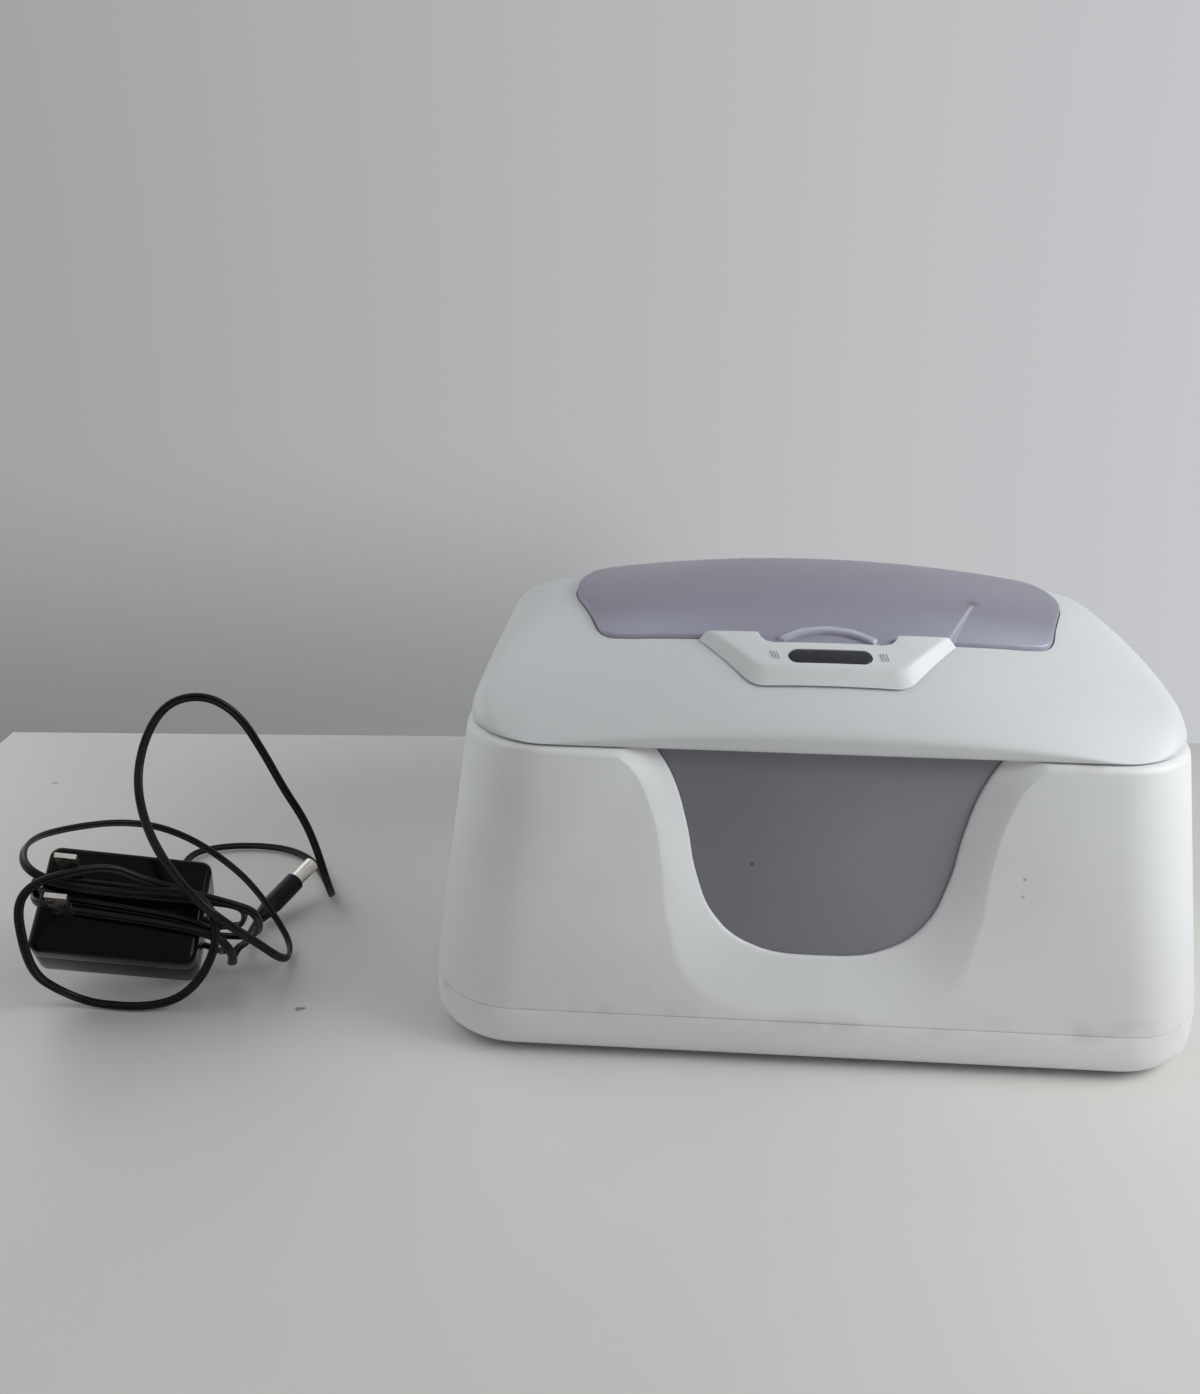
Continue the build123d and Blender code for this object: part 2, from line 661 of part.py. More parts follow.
with BuildPart() as lid_shell:
    add(lid_outer)
    add(lid_void, mode=Mode.SUBTRACT)
    add(seat_cut, mode=Mode.SUBTRACT)
    with BuildSketch(Plane.XY.offset(liner_top)):
        with GridLocations(2 * lid_boss_x, 2 * lid_boss_y, 2, 2):
            Circle(1.25)
    extrude(amount=7, mode=Mode.SUBTRACT)
    with BuildSketch(Plane.XY.offset(lid_bottom)):
        with Locations((0, mouth_y)):
            SlotOverall(mouth_length, mouth_width)
    extrude(amount=60, mode=Mode.SUBTRACT)
    with BuildSketch(button_plane):
        SlotOverall(button_length + 3.4, button_width + 3.4)
    extrude(amount=-12, mode=Mode.SUBTRACT)
    for side in (-1, 1):
        with BuildSketch(Plane.YZ.offset(side * lid_hinge_x - lid_knuckle_length / 2)):
            with Locations((lid_hinge_y, lid_hinge_z)):
                Circle(lid_knuckle_radius)
            with Locations(((lid_depth / 2 - wall + lid_hinge_y) / 2, lid_bottom + 2.0)):
                Rectangle(lid_hinge_y - lid_depth / 2 + wall, 3.2)
        extrude(amount=lid_knuckle_length)
        with BuildSketch(Plane.YZ.offset(side * lid_hinge_x - lid_knuckle_length / 2)):
            with Locations((lid_hinge_y, lid_hinge_z)):
                Circle(lid_pin_radius + pin_clearance)
        extrude(amount=lid_knuckle_length, mode=Mode.SUBTRACT)
        for edge in (-1, 1):
            ear_x = side * cover_knuckle_x + edge * (ear_offset + cover_ear_thickness / 2)
            with BuildSketch(Plane.YZ.offset(ear_x - cover_ear_thickness / 2)):
                with Locations((cover_hinge_y, cover_hinge_z)):
                    Circle(cover_knuckle_radius)
                with Locations((cover_hinge_y, cover_hinge_z - 2)):
                    Rectangle(2 * cover_knuckle_radius, 4)
            extrude(amount=cover_ear_thickness)
            with BuildSketch(Plane.YZ.offset(ear_x - cover_ear_thickness / 2)):
                with Locations((cover_hinge_y, cover_hinge_z)):
                    Circle(cover_pin_radius + 0.02)
            extrude(amount=cover_ear_thickness, mode=Mode.SUBTRACT)
        knuckle_low = side * cover_knuckle_x - ear_offset
        with BuildSketch(Plane.YZ.offset(knuckle_low)):
            with Locations((cover_hinge_y, cover_hinge_z)):
                Circle(cover_knuckle_radius + 0.4)
        extrude(amount=2 * ear_offset, mode=Mode.SUBTRACT)
lid_shell.part.label = "lid_shell"
export_step(lid_shell.part, "parts/lid_shell.step")

# ---- Lid liner: the inner plate that closes the lid from below ----
liner_inset = wall + 0.2
with BuildPart() as lid_liner:
    with BuildSketch(Plane.XY.offset(lid_bottom)):
        RectangleRounded(lid_width - 2 * liner_inset, lid_depth - 2 * liner_inset, lid_corner - liner_inset)
        with Locations((0, mouth_y)):
            RectangleRounded(mouth_length + 24, mouth_width + 20, 12, mode=Mode.SUBTRACT)
        with GridLocations(2 * lid_boss_x, 2 * lid_boss_y, 2, 2):
            Circle(1.4, mode=Mode.SUBTRACT)
    extrude(amount=liner_top - lid_bottom)
    add(shoulder_solid(liner_inset) & crown_solid(-liner_inset), mode=Mode.INTERSECT)
lid_liner.part.label = "lid_liner"
export_step(lid_liner.part, "parts/lid_liner.step")

with BuildPart() as liner_screws:
    with BuildSketch(Plane.XY.offset(lid_bottom - 1.4)):
        with GridLocations(2 * lid_boss_x, 2 * lid_boss_y, 2, 2):
            Circle(2.4)
    extrude(amount=1.4)
    with BuildSketch(Plane.XY.offset(lid_bottom)):
        with GridLocations(2 * lid_boss_x, 2 * lid_boss_y, 2, 2):
            Circle(1.2)
    extrude(amount=8.0)
liner_screws.part.label = "liner_screws"
export_step(liner_screws.part, "parts/liner_screws.step")

# ---- Lid gasket: soft ring under the liner that closes on the tub's bead ----
gasket_low = tub_rim_height + tub_bead + seam_gap
with BuildPart() as lid_gasket:
    with BuildSketch(Plane.XY.offset(gasket_low)):
        RectangleRounded(tub_mouth_width + 6, tub_mouth_depth + 6, tub_corner + 3)
        RectangleRounded(tub_mouth_width - 2, tub_mouth_depth - 2, tub_corner - 1, mode=Mode.SUBTRACT)
        with GridLocations(2 * lid_boss_x, 2 * lid_boss_y, 2, 2):
            Circle(3.0, mode=Mode.SUBTRACT)
    extrude(amount=lid_bottom - gasket_low)
lid_gasket.part.label = "lid_gasket"
export_step(lid_gasket.part, "parts/lid_gasket.step")

# ---- Dispensing seal: soft lips in the lid's mouth that hold the next wipe up ----
seal_lip = 1.6
seal_slot_length = 64.0
seal_slot_width = 9.0
with BuildPart() as dispensing_seal:
    with BuildSketch(Plane.XY.offset(lid_bottom)):
        with Locations((0, mouth_y)):
            SlotOverall(mouth_length - 0.2, mouth_width - 0.2)
            SlotOverall(seal_slot_length, seal_slot_width, mode=Mode.SUBTRACT)
    extrude(amount=60)
    add(crown_solid(seat_rise), mode=Mode.INTERSECT)
    add(crown_solid(seat_rise - seal_lip), mode=Mode.SUBTRACT)
dispensing_seal.part.label = "dispensing_seal"
export_step(dispensing_seal.part, "parts/dispensing_seal.step")

# ---- Button bezel: raised trapezoid with bevelled sides, seated on the lid ----
with BuildPart() as button_bezel:
    with BuildSketch(Plane.XY.offset(lid_bottom)):
        with BuildLine():
            Polyline((-bezel_rear_half - 1, bezel_rear_y), (-bezel_bottom_half, bezel_front_y),
                     (bezel_bottom_half, bezel_front_y), (bezel_rear_half + 1, bezel_rear_y),
                     (notch_half, bezel_rear_y), (notch_floor_half, notch_front_y),
                     (-notch_floor_half, notch_front_y), (-notch_half, bezel_rear_y), close=True)
        make_face()
    extrude(amount=60)
    fillet(button_bezel.edges().filter_by(Axis.Z).group_by(Axis.Y)[0], radius=3.0)
    add(crown_solid(bezel_height), mode=Mode.INTERSECT)
    add(crown_outer, mode=Mode.SUBTRACT)
    with BuildSketch(button_plane):
        SlotOverall(button_length + 2 * button_gap, button_width + 2 * button_gap)
    extrude(amount=-12, both=True, mode=Mode.SUBTRACT)
button_bezel.part.label = "button_bezel"
export_step(button_bezel.part, "parts/button_bezel.step")

# ---- Night-light button, its rubber dome and the switch board under it ----
button_recess = 0.4
flange_top = bezel_height + 0.4
flange_bottom = flange_top + 1.2
dome_top = flange_bottom
board_face = switch_board_depth
with BuildPart() as light_button:
    with BuildSketch(button_plane.offset(-button_recess)):
        SlotOverall(button_length, button_width)
    extrude(amount=-(flange_top - button_recess))
    with BuildSketch(button_plane.offset(-flange_top)):
        SlotOverall(button_length + 2.6, button_width + 2.6)
    extrude(amount=-(flange_bottom - flange_top))
light_button.part.label = "light_button"
export_step(light_button.part, "parts/light_button.step")

with BuildPart() as button_dome:
    with BuildSketch(button_plane.offset(-dome_top)):
        SlotOverall(button_length - 8, button_width - 1)
    with BuildSketch(button_plane.offset(-board_face)):
        SlotOverall(button_length - 4, button_width + 3)
    loft()
button_dome.part.label = "button_dome"
export_step(button_dome.part, "parts/button_dome.step")

switch_board_width = 40.0
switch_board_height = 12.0
with BuildPart() as switch_board:
    with BuildSketch(button_plane.offset(-board_face)):
        RectangleRounded(switch_board_width, switch_board_height, 1.5)
    extrude(amount=-board_thickness)
    with BuildSketch(button_plane.offset(-board_face)):
        with GridLocations(switch_board_width - 7, 1, 2, 1):
            Circle(2.2)
    posts = extrude(amount=board_face, mode=Mode.PRIVATE)
    add(posts & crown_solid(-wall))
switch_board.part.label = "switch_board"
export_step(switch_board.part, "parts/switch_board.step")

# ---- Flip cover: tinted crowned hatch over the mouth, with a finger lip at its front ----
lip_height = 2.0
cover_slab = column(cover_outline(0), lid_bottom, high)
cover_slab = (cover_slab & crown_solid(cover_proud)) - crown_solid(cover_proud - cover_thickness)
knuckle_arm_z = cover_hinge_z + cover_knuckle_radius
with BuildSketch() as tongue_sketch:
    with Locations((0, (cover_nose_y + notch_front_y) / 2 + 1.4)):
        RectangleRounded(2 * notch_floor_half - 1.2, cover_nose_y - notch_front_y + 1.6, 1.5)
tongue = column(tongue_sketch.sketch, lid_bottom, high) & crown_solid(cover_proud)
tongue = tongue - crown_solid(0.3)
with BuildSketch() as lip_sketch:
    with BuildLine():
        lip_rear = ThreePointArc((-15.0, -48.4), (0, -43.2), (15.0, -48.4))
        lip_right = Line((15.0, -48.4), (14.0, -50.2))
        lip_front = ThreePointArc((14.0, -50.2), (0, -45.4), (-14.0, -50.2))
        Line((-14.0, -50.2), (-15.0, -48.4))
    make_face()
finger_lip = column(lip_sketch.sketch, lid_bottom, high) & crown_solid(cover_proud + lip_height)
finger_lip = finger_lip - crown_solid(cover_proud - 0.5)
with BuildPart() as flip_cover:
    add(cover_slab)
    add(tongue)
    add(finger_lip)
    for side in (-1, 1):
        with BuildSketch(Plane.YZ.offset(side * cover_knuckle_x - cover_knuckle_length / 2)):
            with Locations((cover_hinge_y, cover_hinge_z)):
                Circle(cover_knuckle_radius)
            with BuildLine():
                Polyline((cover_rear_y - 1.0, crown_height_at(0, cover_rear_y - 1.0, cover_proud) - 0.2),
                         (cover_hinge_y, knuckle_arm_z),
                         (cover_hinge_y, knuckle_arm_z - 2.0),
                         (cover_rear_y - 1.0, crown_height_at(0, cover_rear_y - 1.0, cover_proud) - 2.0),
                         close=True)
            make_face()
        extrude(amount=cover_knuckle_length)
        with BuildSketch(Plane.YZ.offset(side * cover_knuckle_x - cover_knuckle_length / 2)):
            with Locations((cover_hinge_y, cover_hinge_z)):
                Circle(cover_pin_radius + pin_clearance)
        extrude(amount=cover_knuckle_length, mode=Mode.SUBTRACT)
flip_cover.part.label = "flip_cover"
export_step(flip_cover.part, "parts/flip_cover.step")

cover_pin_length = 2 * (ear_offset + cover_ear_thickness)
with BuildPart() as cover_hinge_pins:
    for side in (-1, 1):
        with BuildSketch(Plane.YZ.offset(side * cover_knuckle_x - cover_pin_length / 2)):
            with Locations((cover_hinge_y, cover_hinge_z)):
                Circle(cover_pin_radius)
        extrude(amount=cover_pin_length)
cover_hinge_pins.part.label = "cover_hinge_pins"
export_step(cover_hinge_pins.part, "parts/cover_hinge_pins.step")

# ---- Power supply: two shells, prongs, transformer board and strain relief ----
supply_plane = Plane(origin=supply_center, x_dir=supply_long_axis, z_dir=supply_face_axis)


def supply_slab(inset, top, bottom):
    """A rounded block of the supply's plan between two depths behind its prong face."""
    with BuildPart() as slab:
        with BuildSketch(supply_plane.offset(-top)):
            RectangleRounded(supply_width - 2 * inset, supply_height - 2 * inset, supply_round - inset)
        extrude(amount=-(bottom - top))
    return slab.part


with BuildPart() as supply_front:
    add(supply_slab(0, 0, supply_split))
    fillet(supply_front.faces().sort_by(Axis(supply_plane.origin, supply_plane.z_dir))[-1].edges(), radius=1.6)
    add(supply_slab(supply_wall, supply_wall, supply_split), mode=Mode.SUBTRACT)
    with BuildSketch(supply_plane):
        with Locations((prong_x, prong_y)):
            with GridLocations(1, prong_spacing, 1, 2):
                Rectangle(prong_width, prong_thickness)
    extrude(amount=-supply_wall - 1, mode=Mode.SUBTRACT)
supply_front.part.label = "supply_front"
export_step(supply_front.part, "parts/supply_front.step")

relief_radius = 3.0
relief_length = 6.0
relief_depth = supply_thickness - 9.0
relief_plane = Plane(origin=supply_plane.from_local_coords((supply_width / 2, prong_y, -relief_depth)),
                     x_dir=supply_plane.y_dir, z_dir=supply_plane.x_dir)
with BuildPart() as supply_back:
    add(supply_slab(0, supply_split + 0.1, supply_thickness))
    fillet(supply_back.faces().sort_by(Axis(supply_plane.origin, supply_plane.z_dir))[0].edges(), radius=2.2)
    add(supply_slab(supply_wall, supply_split + 0.1, supply_thickness - supply_wall), mode=Mode.SUBTRACT)
    with BuildSketch(relief_plane.offset(-supply_wall - 1)):
        Circle(relief_radius - 0.8)
    extrude(amount=supply_wall + 2, mode=Mode.SUBTRACT)
supply_back.part.label = "supply_back"
export_step(supply_back.part, "parts/supply_back.step")

with BuildPart() as supply_prongs:
    with BuildSketch(supply_plane.offset(-supply_wall - 5)):
        with Locations((prong_x, prong_y)):
            with GridLocations(1, prong_spacing, 1, 2):
                Rectangle(prong_width, prong_thickness)
    extrude(amount=prong_length + supply_wall + 5)
supply_prongs.part.label = "supply_prongs"
export_step(supply_prongs.part, "parts/supply_prongs.step")

with BuildPart() as supply_board:
    with BuildSketch(supply_plane.offset(-supply_wall - 5)):
        Rectangle(supply_width - 2 * supply_wall - 1, supply_height - 2 * supply_wall - 1)
    extrude(amount=-board_thickness)
    with BuildSketch(supply_plane.offset(-supply_wall - 5 - board_thickness)):
        with Locations((5, -2)):
            Rectangle(16, 14)
    extrude(amount=-(supply_thickness - 2 * supply_wall - 5 - board_thickness))
supply_board.part.label = "supply_board"
export_step(supply_board.part, "parts/supply_board.step")

winding_face = relief_length - 0.6
with BuildPart() as strain_relief:
    with BuildSketch(relief_plane.offset(-supply_wall - 0.8)):
        Circle(relief_radius)
    extrude(amount=0.8)
    with BuildSketch(relief_plane.offset(-supply_wall)):
        Circle(relief_radius - 0.9)
    with BuildSketch(relief_plane.offset(winding_gap - 0.05)):
        Circle(cord_diameter / 2 + 0.4)
    loft()
strain_relief.part.label = "strain_relief"
export_step(strain_relief.part, "parts/strain_relief.step")

# ---- Cord wound lengthwise round the supply: one band of the winding's outer shape ----
outer_left = -supply_width / 2 - winding_gap - winding_front
outer_right = supply_width / 2 + winding_gap + winding_right
outer_front = winding_gap + winding_front
outer_back = -supply_thickness - winding_gap - winding_front
band_plane = Plane(origin=supply_plane.from_local_coords((0, prong_y + winding_width / 2, 0)),
                   x_dir=supply_plane.x_dir, z_dir=supply_plane.y_dir)
with BuildPart() as cord_winding:
    with BuildSketch(band_plane):
        with Locations(((outer_left + outer_right) / 2, -(outer_front + outer_back) / 2)):
            RectangleRounded(outer_right - outer_left, outer_front - outer_back, 5.0)
        with Locations((0, supply_thickness / 2)):
            Rectangle(supply_width + 2 * winding_gap, supply_thickness + 2 * winding_gap,
                      mode=Mode.SUBTRACT)
    extrude(amount=-winding_width)
cord_winding.part.label = "cord_winding"
export_step(cord_winding.part, "parts/cord_winding.step")

# ---- Free stretches of the cord, as tubes of straight runs and tangent arcs ----
standing_loop_route = [
    (-223.8, -42.7, 18.9), (-221.0, -26.0, 9.0), (-229.0, -4.0, 3.0), (-237.4, 25.0, 2.0),
    (-228.7, 33.6, 2.0), (-213.2, 36.8, 2.0), (-195.7, 33.9, 2.0), (-181.9, 21.3, 2.0), (-169.3, -3.7, 2.0),
    (-168.7, -14.0, 13.2), (-173.2, -17.0, 31.1), (-179.3, -21.0, 52.2), (-184.5, -24.0, 69.8),
    (-189.8, -27.0, 84.2), (-199.1, -30.0, 91.9), (-210.9, -33.0, 90.3), (-217.7, -38.0, 80.0),
    (-218.9, -46.0, 66.7), (-212.6, -56.0, 55.3), (-202.5, -66.0, 47.4), (-192.4, -73.0, 40.8),
    (-184.2, -72.0, 32.1), (-178.3, -61.0, 18.1), (-173.2, -48.4, 2.4), (-175.0, -37.1, 2.4),
    (-182.6, -31.0, 10.8), (-192.9, -24.0, 19.2), (-205.1, -17.0, 24.5), (-217.4, -14.0, 30.5),
    (-228.8, -16.0, 36.1), (-239.2, -22.0, 39.8), (-247.7, -32.0, 42.7), (-252.8, -44.0, 45.8),
    (-252.5, -54.3, 48.3), (-249.8, -64.3, 49.8), (-244.6, -73.5, 49.8), (-238.3, -76.5, 47.4),
    (-227.4, -74.0, 42.1),
]
table_loop_route = [
    (-210.2, -66.9, 42.1), (-218.0, -71.8, 49.8), (-228.5, -80.3, 51.1), (-236.8, -84.3, 49.2),
    (-240.8, -87.0, 43.2), (-239.6, -88.9, 30.5), (-240.0, -85.6, 19.7), (-239.5, -79.7, 10.8),
    (-230.9, -75.1, 2.0), (-220.2, -76.5, 2.0), (-211.0, -76.3, 2.0), (-201.5, -75.5, 4.0),
    (-194.8, -74.5, 9.0), (-190.4, -73.8, 15.2), (-187.5, -72.6, 21.8), (-186.6, -70.9, 28.4),
    (-189.0, -68.6, 35.2), (-195.3, -67.0, 39.1), (-202.4, -67.3, 38.7),
]
plug_lead_route = [
    (-193.3, -46.5, 13.8), (-189.4, -41.5, 5.5), (-191.9, -31.5, 2.4), plug_base,
]


def route_radii(name, points):
    """Radius of each corner: 0.45 of its shorter run over the tangent of half its turn."""
    radii = []
    for before, corner, after in zip(points, points[1:], points[2:]):
        arriving = Vector(*corner) - Vector(*before)
        leaving = Vector(*after) - Vector(*corner)
        turn = arriving.get_angle(leaving)
        shorter = min(arriving.length, leaving.length)
        radii.append(0.45 * shorter / math.tan(math.radians(turn) / 2))
    print(name, "radii", [round(radius, 1) for radius in radii])
    return radii


def cord_tube(name, points):
    """A round tube along the route, with its volume checked against section times length."""
    with BuildPart() as tube:
        with BuildLine() as path:
            FilletPolyline(*points, radius=route_radii(name, points))
        wire = path.wires()[0]
        with BuildSketch(Plane(origin=wire @ 0, z_dir=wire % 0)):
            Circle(cord_diameter / 2)
        sweep(path=wire)
    section = math.pi * cord_diameter ** 2 / 4
    print(name, "length", round(wire.length, 1), "volume share",
          round(tube.part.volume / (section * wire.length), 4))
    tube.part.label = name
    export_step(tube.part, f"parts/{name}.step")


cord_tube("cord_standing_loop", standing_loop_route)
cord_tube("cord_table_loop", table_loop_route)
cord_tube("cord_plug_lead", plug_lead_route)

# ---- Barrel plug on the cord's end ----
plug_plane = Plane(origin=plug_base, x_dir=(1, 0, 0), z_dir=plug_direction)
plug_nose = plug_plane.offset(plug_boot_length)
with BuildPart() as plug_boot:
    with BuildSketch(plug_plane):
        Circle(cord_diameter / 2 + 0.9)
    with BuildSketch(plug_plane.offset(7.0)):
        Circle(plug_boot_radius)
    loft()
    with BuildSketch(plug_plane.offset(7.0)):
        Circle(plug_boot_radius)
    extrude(amount=plug_boot_length - 7.0)
    fillet(plug_boot.edges().sort_by(Axis(plug_plane.origin, plug_plane.z_dir))[-1], radius=0.6)
plug_boot.part.label = "plug_boot"
export_step(plug_boot.part, "parts/plug_boot.step")

with BuildPart() as plug_sleeve:
    with BuildSketch(plug_nose):
        Circle(plug_sleeve_radius)
        Circle(plug_sleeve_radius - 0.35, mode=Mode.SUBTRACT)
    extrude(amount=plug_sleeve_length)
plug_sleeve.part.label = "plug_sleeve"
export_step(plug_sleeve.part, "parts/plug_sleeve.step")

with BuildPart() as plug_insulator:
    with BuildSketch(plug_nose):
        Circle(plug_sleeve_radius - 0.35)
    extrude(amount=plug_sleeve_length - 0.4)
    with BuildSketch(plug_nose.offset(1.0)):
        Circle(plug_bore_radius)
    extrude(amount=plug_sleeve_length, mode=Mode.SUBTRACT)
plug_insulator.part.label = "plug_insulator"
export_step(plug_insulator.part, "parts/plug_insulator.step")
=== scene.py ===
"""Countertop baby wipe warmer: the finish of its base, lid, flip cover, supply and cord.

Metres, +Z up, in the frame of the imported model. The front, with the window, faces -Y.
"""

import math

import bmesh
import bpy
from mathutils import Matrix, Vector


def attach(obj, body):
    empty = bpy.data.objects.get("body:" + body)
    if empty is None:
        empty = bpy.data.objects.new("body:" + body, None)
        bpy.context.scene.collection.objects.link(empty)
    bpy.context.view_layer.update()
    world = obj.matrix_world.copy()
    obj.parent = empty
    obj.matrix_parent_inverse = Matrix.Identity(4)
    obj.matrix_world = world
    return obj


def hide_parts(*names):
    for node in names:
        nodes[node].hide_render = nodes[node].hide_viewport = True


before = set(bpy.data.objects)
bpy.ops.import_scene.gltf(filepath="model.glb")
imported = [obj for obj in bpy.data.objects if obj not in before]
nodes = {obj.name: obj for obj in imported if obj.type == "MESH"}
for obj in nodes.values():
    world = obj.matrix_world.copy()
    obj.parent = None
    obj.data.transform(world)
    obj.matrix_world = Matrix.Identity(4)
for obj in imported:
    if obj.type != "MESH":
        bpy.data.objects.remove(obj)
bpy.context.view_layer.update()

# ---- Table top ----
# A pale laminate table that ends a hand's width behind the warmer. The sheet is pressed
# board with a printed, slightly clouded surface and a softened rear edge.
table_edge_y = 0.179
table_edge_turn = math.radians(3.886)
table_left = 0.378
table_reach = 1.6
table_thickness = 0.03
laminate_tones = ((0.722, 0.70, 0.673), (0.757, 0.734, 0.706), (0.782, 0.753, 0.73))
crumb_grey = (0.16, 0.15, 0.14)


def hold(piece, *others):
    """Have only these pieces selected, with the first of them active."""
    bpy.ops.object.select_all(action="DESELECT")
    for held in (piece, *others):
        held.select_set(True)
    bpy.context.view_layer.objects.active = piece


def settle(piece):
    """Leave edit mode and put the piece's place, turn and size into its mesh."""
    if piece.mode == "EDIT":
        bpy.ops.object.mode_set(mode="OBJECT")
    hold(piece)
    bpy.ops.object.transform_apply(location=True, rotation=True, scale=True)


def begin(add_primitive, name, **settings):
    """Add a primitive with nothing else selected, name it and open it in edit mode."""
    bpy.ops.object.select_all(action="DESELECT")
    add_primitive(**settings)
    piece = bpy.context.object
    piece.name = piece.data.name = name
    settle(piece)
    bpy.ops.object.mode_set(mode="EDIT")
    return piece


def pick(kind, wanted):
    """Leave selected, in edit mode, only the faces, edges or points that pass a test."""
    bpy.ops.mesh.select_mode(type=kind)
    bpy.ops.mesh.select_all(action="DESELECT")
    mesh = bpy.context.edit_object.data
    form = bmesh.from_edit_mesh(mesh)
    for part in {"VERT": form.verts, "EDGE": form.edges, "FACE": form.faces}[kind]:
        if wanted(part):
            part.select_set(True)
    form.select_flush_mode()
    bmesh.update_edit_mesh(mesh)


def above(part, level):
    """Whether an edge or a face lies wholly above a level."""
    return all(v.co.z > level for v in part.verts)


def below(part, level):
    """Whether an edge or a face lies wholly below a level."""
    return all(v.co.z < level for v in part.verts)


def rounded(wanted, radius, segments):
    """Round the edges of the open piece that pass a test."""
    pick("EDGE", wanted)
    bpy.ops.mesh.bevel(offset=radius, segments=segments)


def extrude(x, y, z):
    """Push the selected faces of the open piece out along a way."""
    bpy.ops.mesh.extrude_region_move(TRANSFORM_OT_translate={"value": (x, y, z)})


def face_outwards():
    """Turn every face of the open piece outwards."""
    bpy.ops.mesh.select_all(action="SELECT")
    bpy.ops.mesh.normals_make_consistent(inside=False)


def smooth(piece, angle=35.0):
    """Shade the piece smooth, with edges sharper than an angle kept crisp."""
    hold(piece)
    bpy.ops.object.shade_smooth_by_angle(angle=math.radians(angle))


def node(material, kind, *values, **settings):
    """A shader node with its inputs given in order: a node or socket is wired in, None is left."""
    tree = material.node_tree
    made = tree.nodes.new(kind)
    made.location = (-200 * (len(tree.nodes) % 9), 280 * (len(tree.nodes) // 9))
    for name, value in settings.items():
        setattr(made, name, value)
    for socket, value in zip([s for s in made.inputs if s.enabled], values):
        if isinstance(value, bpy.types.Node):
            value = next(out for out in value.outputs if out.enabled)
        if isinstance(value, bpy.types.NodeSocket):
            tree.links.new(value, socket)
        elif value is not None:
            socket.default_value = value
    return made


def object_place(material):
    """The place on the surface, in the object's own space."""
    return node(material, "ShaderNodeTexCoord").outputs["Object"]


def maths(material, operation, *values):
    """A sum done on one or two values."""
    return node(material, "ShaderNodeMath", *values, operation=operation)


def eased(material, value, *ends):
    """A value taken softly from one range, low to high, to another."""
    return node(material, "ShaderNodeMapRange", value, *ends, interpolation_type="SMOOTHSTEP")


def finish(name, tones, cloud, rough, wear, grain, detail=3.0, metallic=0.0):
    """Two or three tones in soft clouds, a sheen made uneven by handling, and a raised grain.

    Clouds and wear are given by their scale, grain by its scale, strength and depth.
    """
    material = bpy.data.materials.new(name)
    material.use_nodes = True
    shader = material.node_tree.nodes["Principled BSDF"]
    shader.inputs["Metallic"].default_value = metallic
    where = object_place(material)
    clouds = node(material, "ShaderNodeTexNoise", where, cloud, detail)
    shades = node(material, "ShaderNodeValToRGB", clouds)
    shades.color_ramp.interpolation = "B_SPLINE"
    for step in range(len(tones) - 2):
        shades.color_ramp.elements.new(0.5)
    for step, (element, tone) in enumerate(zip(shades.color_ramp.elements, tones)):
        element.position = 0.35 + 0.3 * step / (len(tones) - 1)
        element.color = (*tone, 1.0)
    sheen = eased(material, node(material, "ShaderNodeTexNoise", where, wear, 4.0), 0.3, 0.7, *rough)
    grains = node(material, "ShaderNodeTexNoise", where, grain[0], 2.0)
    bump = node(material, "ShaderNodeBump", grain[1], grain[2], None, grains)
    for made, socket in ((shades, "Base Color"), (sheen, "Roughness"), (bump, "Normal")):
        material.node_tree.links.new(made.outputs[0], shader.inputs[socket])
    return material


def tinted(material, share, colour):
    """Lay a colour over the surface's own by a share that varies from place to place."""
    base = material.node_tree.nodes["Principled BSDF"].inputs["Base Color"]
    under = base.links[0].from_socket
    mix = node(material, "ShaderNodeMix", share, under, (*colour, 1.0), data_type="RGBA")
    material.node_tree.links.new(mix.outputs["Result"], base)


def marked(material, place, reach, colour, strength):
    """A small mark laid on a surface, fading out from a place to its reach; it serves for marks worn or
    soiled in and for painted shade.
    """
    away = node(material, "ShaderNodeVectorMath", object_place(material), place, operation="DISTANCE")
    tinted(material, eased(material, away, 0.0, reach, strength, 0.0), colour)


def coat_with(material, *pieces):
    """Give pieces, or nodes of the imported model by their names, one material all over."""
    for piece in pieces:
        piece = nodes[piece] if isinstance(piece, str) else piece
        if piece.material_slots:
            for slot in piece.material_slots:
                slot.material = material
        else:
            piece.data.materials.append(material)


laminate = finish("table_laminate", laminate_tones, 3.0, (0.42, 0.58), 14.0, (700.0, 0.06, 0.0001), 5.0)
marked(laminate, (-0.3258, 0.0932, 0.0), 0.0022, crumb_grey, 0.6)
marked(laminate, (-0.1627, -0.0708, 0.0), 0.0018, crumb_grey, 1.0)
marked(laminate, (-0.1612, -0.0704, 0.0), 0.0013, crumb_grey, 1.0)

table = begin(bpy.ops.mesh.primitive_plane_add, "table_top", size=1,
              location=(0, table_edge_y - table_reach / 2, 0))
bpy.ops.transform.resize(value=(2 * table_reach, table_reach, 1))
pick("VERT", lambda v: v.co.x < 0)
bpy.ops.transform.translate(value=(table_reach - table_left, 0, 0))
bpy.ops.mesh.select_all(action="SELECT")
extrude(0, 0, -table_thickness)
face_outwards()
rounded(lambda e: above(e, -0.001) and all(v.co.y > table_edge_y - 0.001 for v in e.verts), 0.002, 3)
bpy.ops.mesh.select_all(action="SELECT")
bpy.ops.transform.rotate(value=-table_edge_turn, orient_axis="Z", center_override=(0, table_edge_y, 0))
settle(table)
smooth(table)
coat_with(laminate, table)
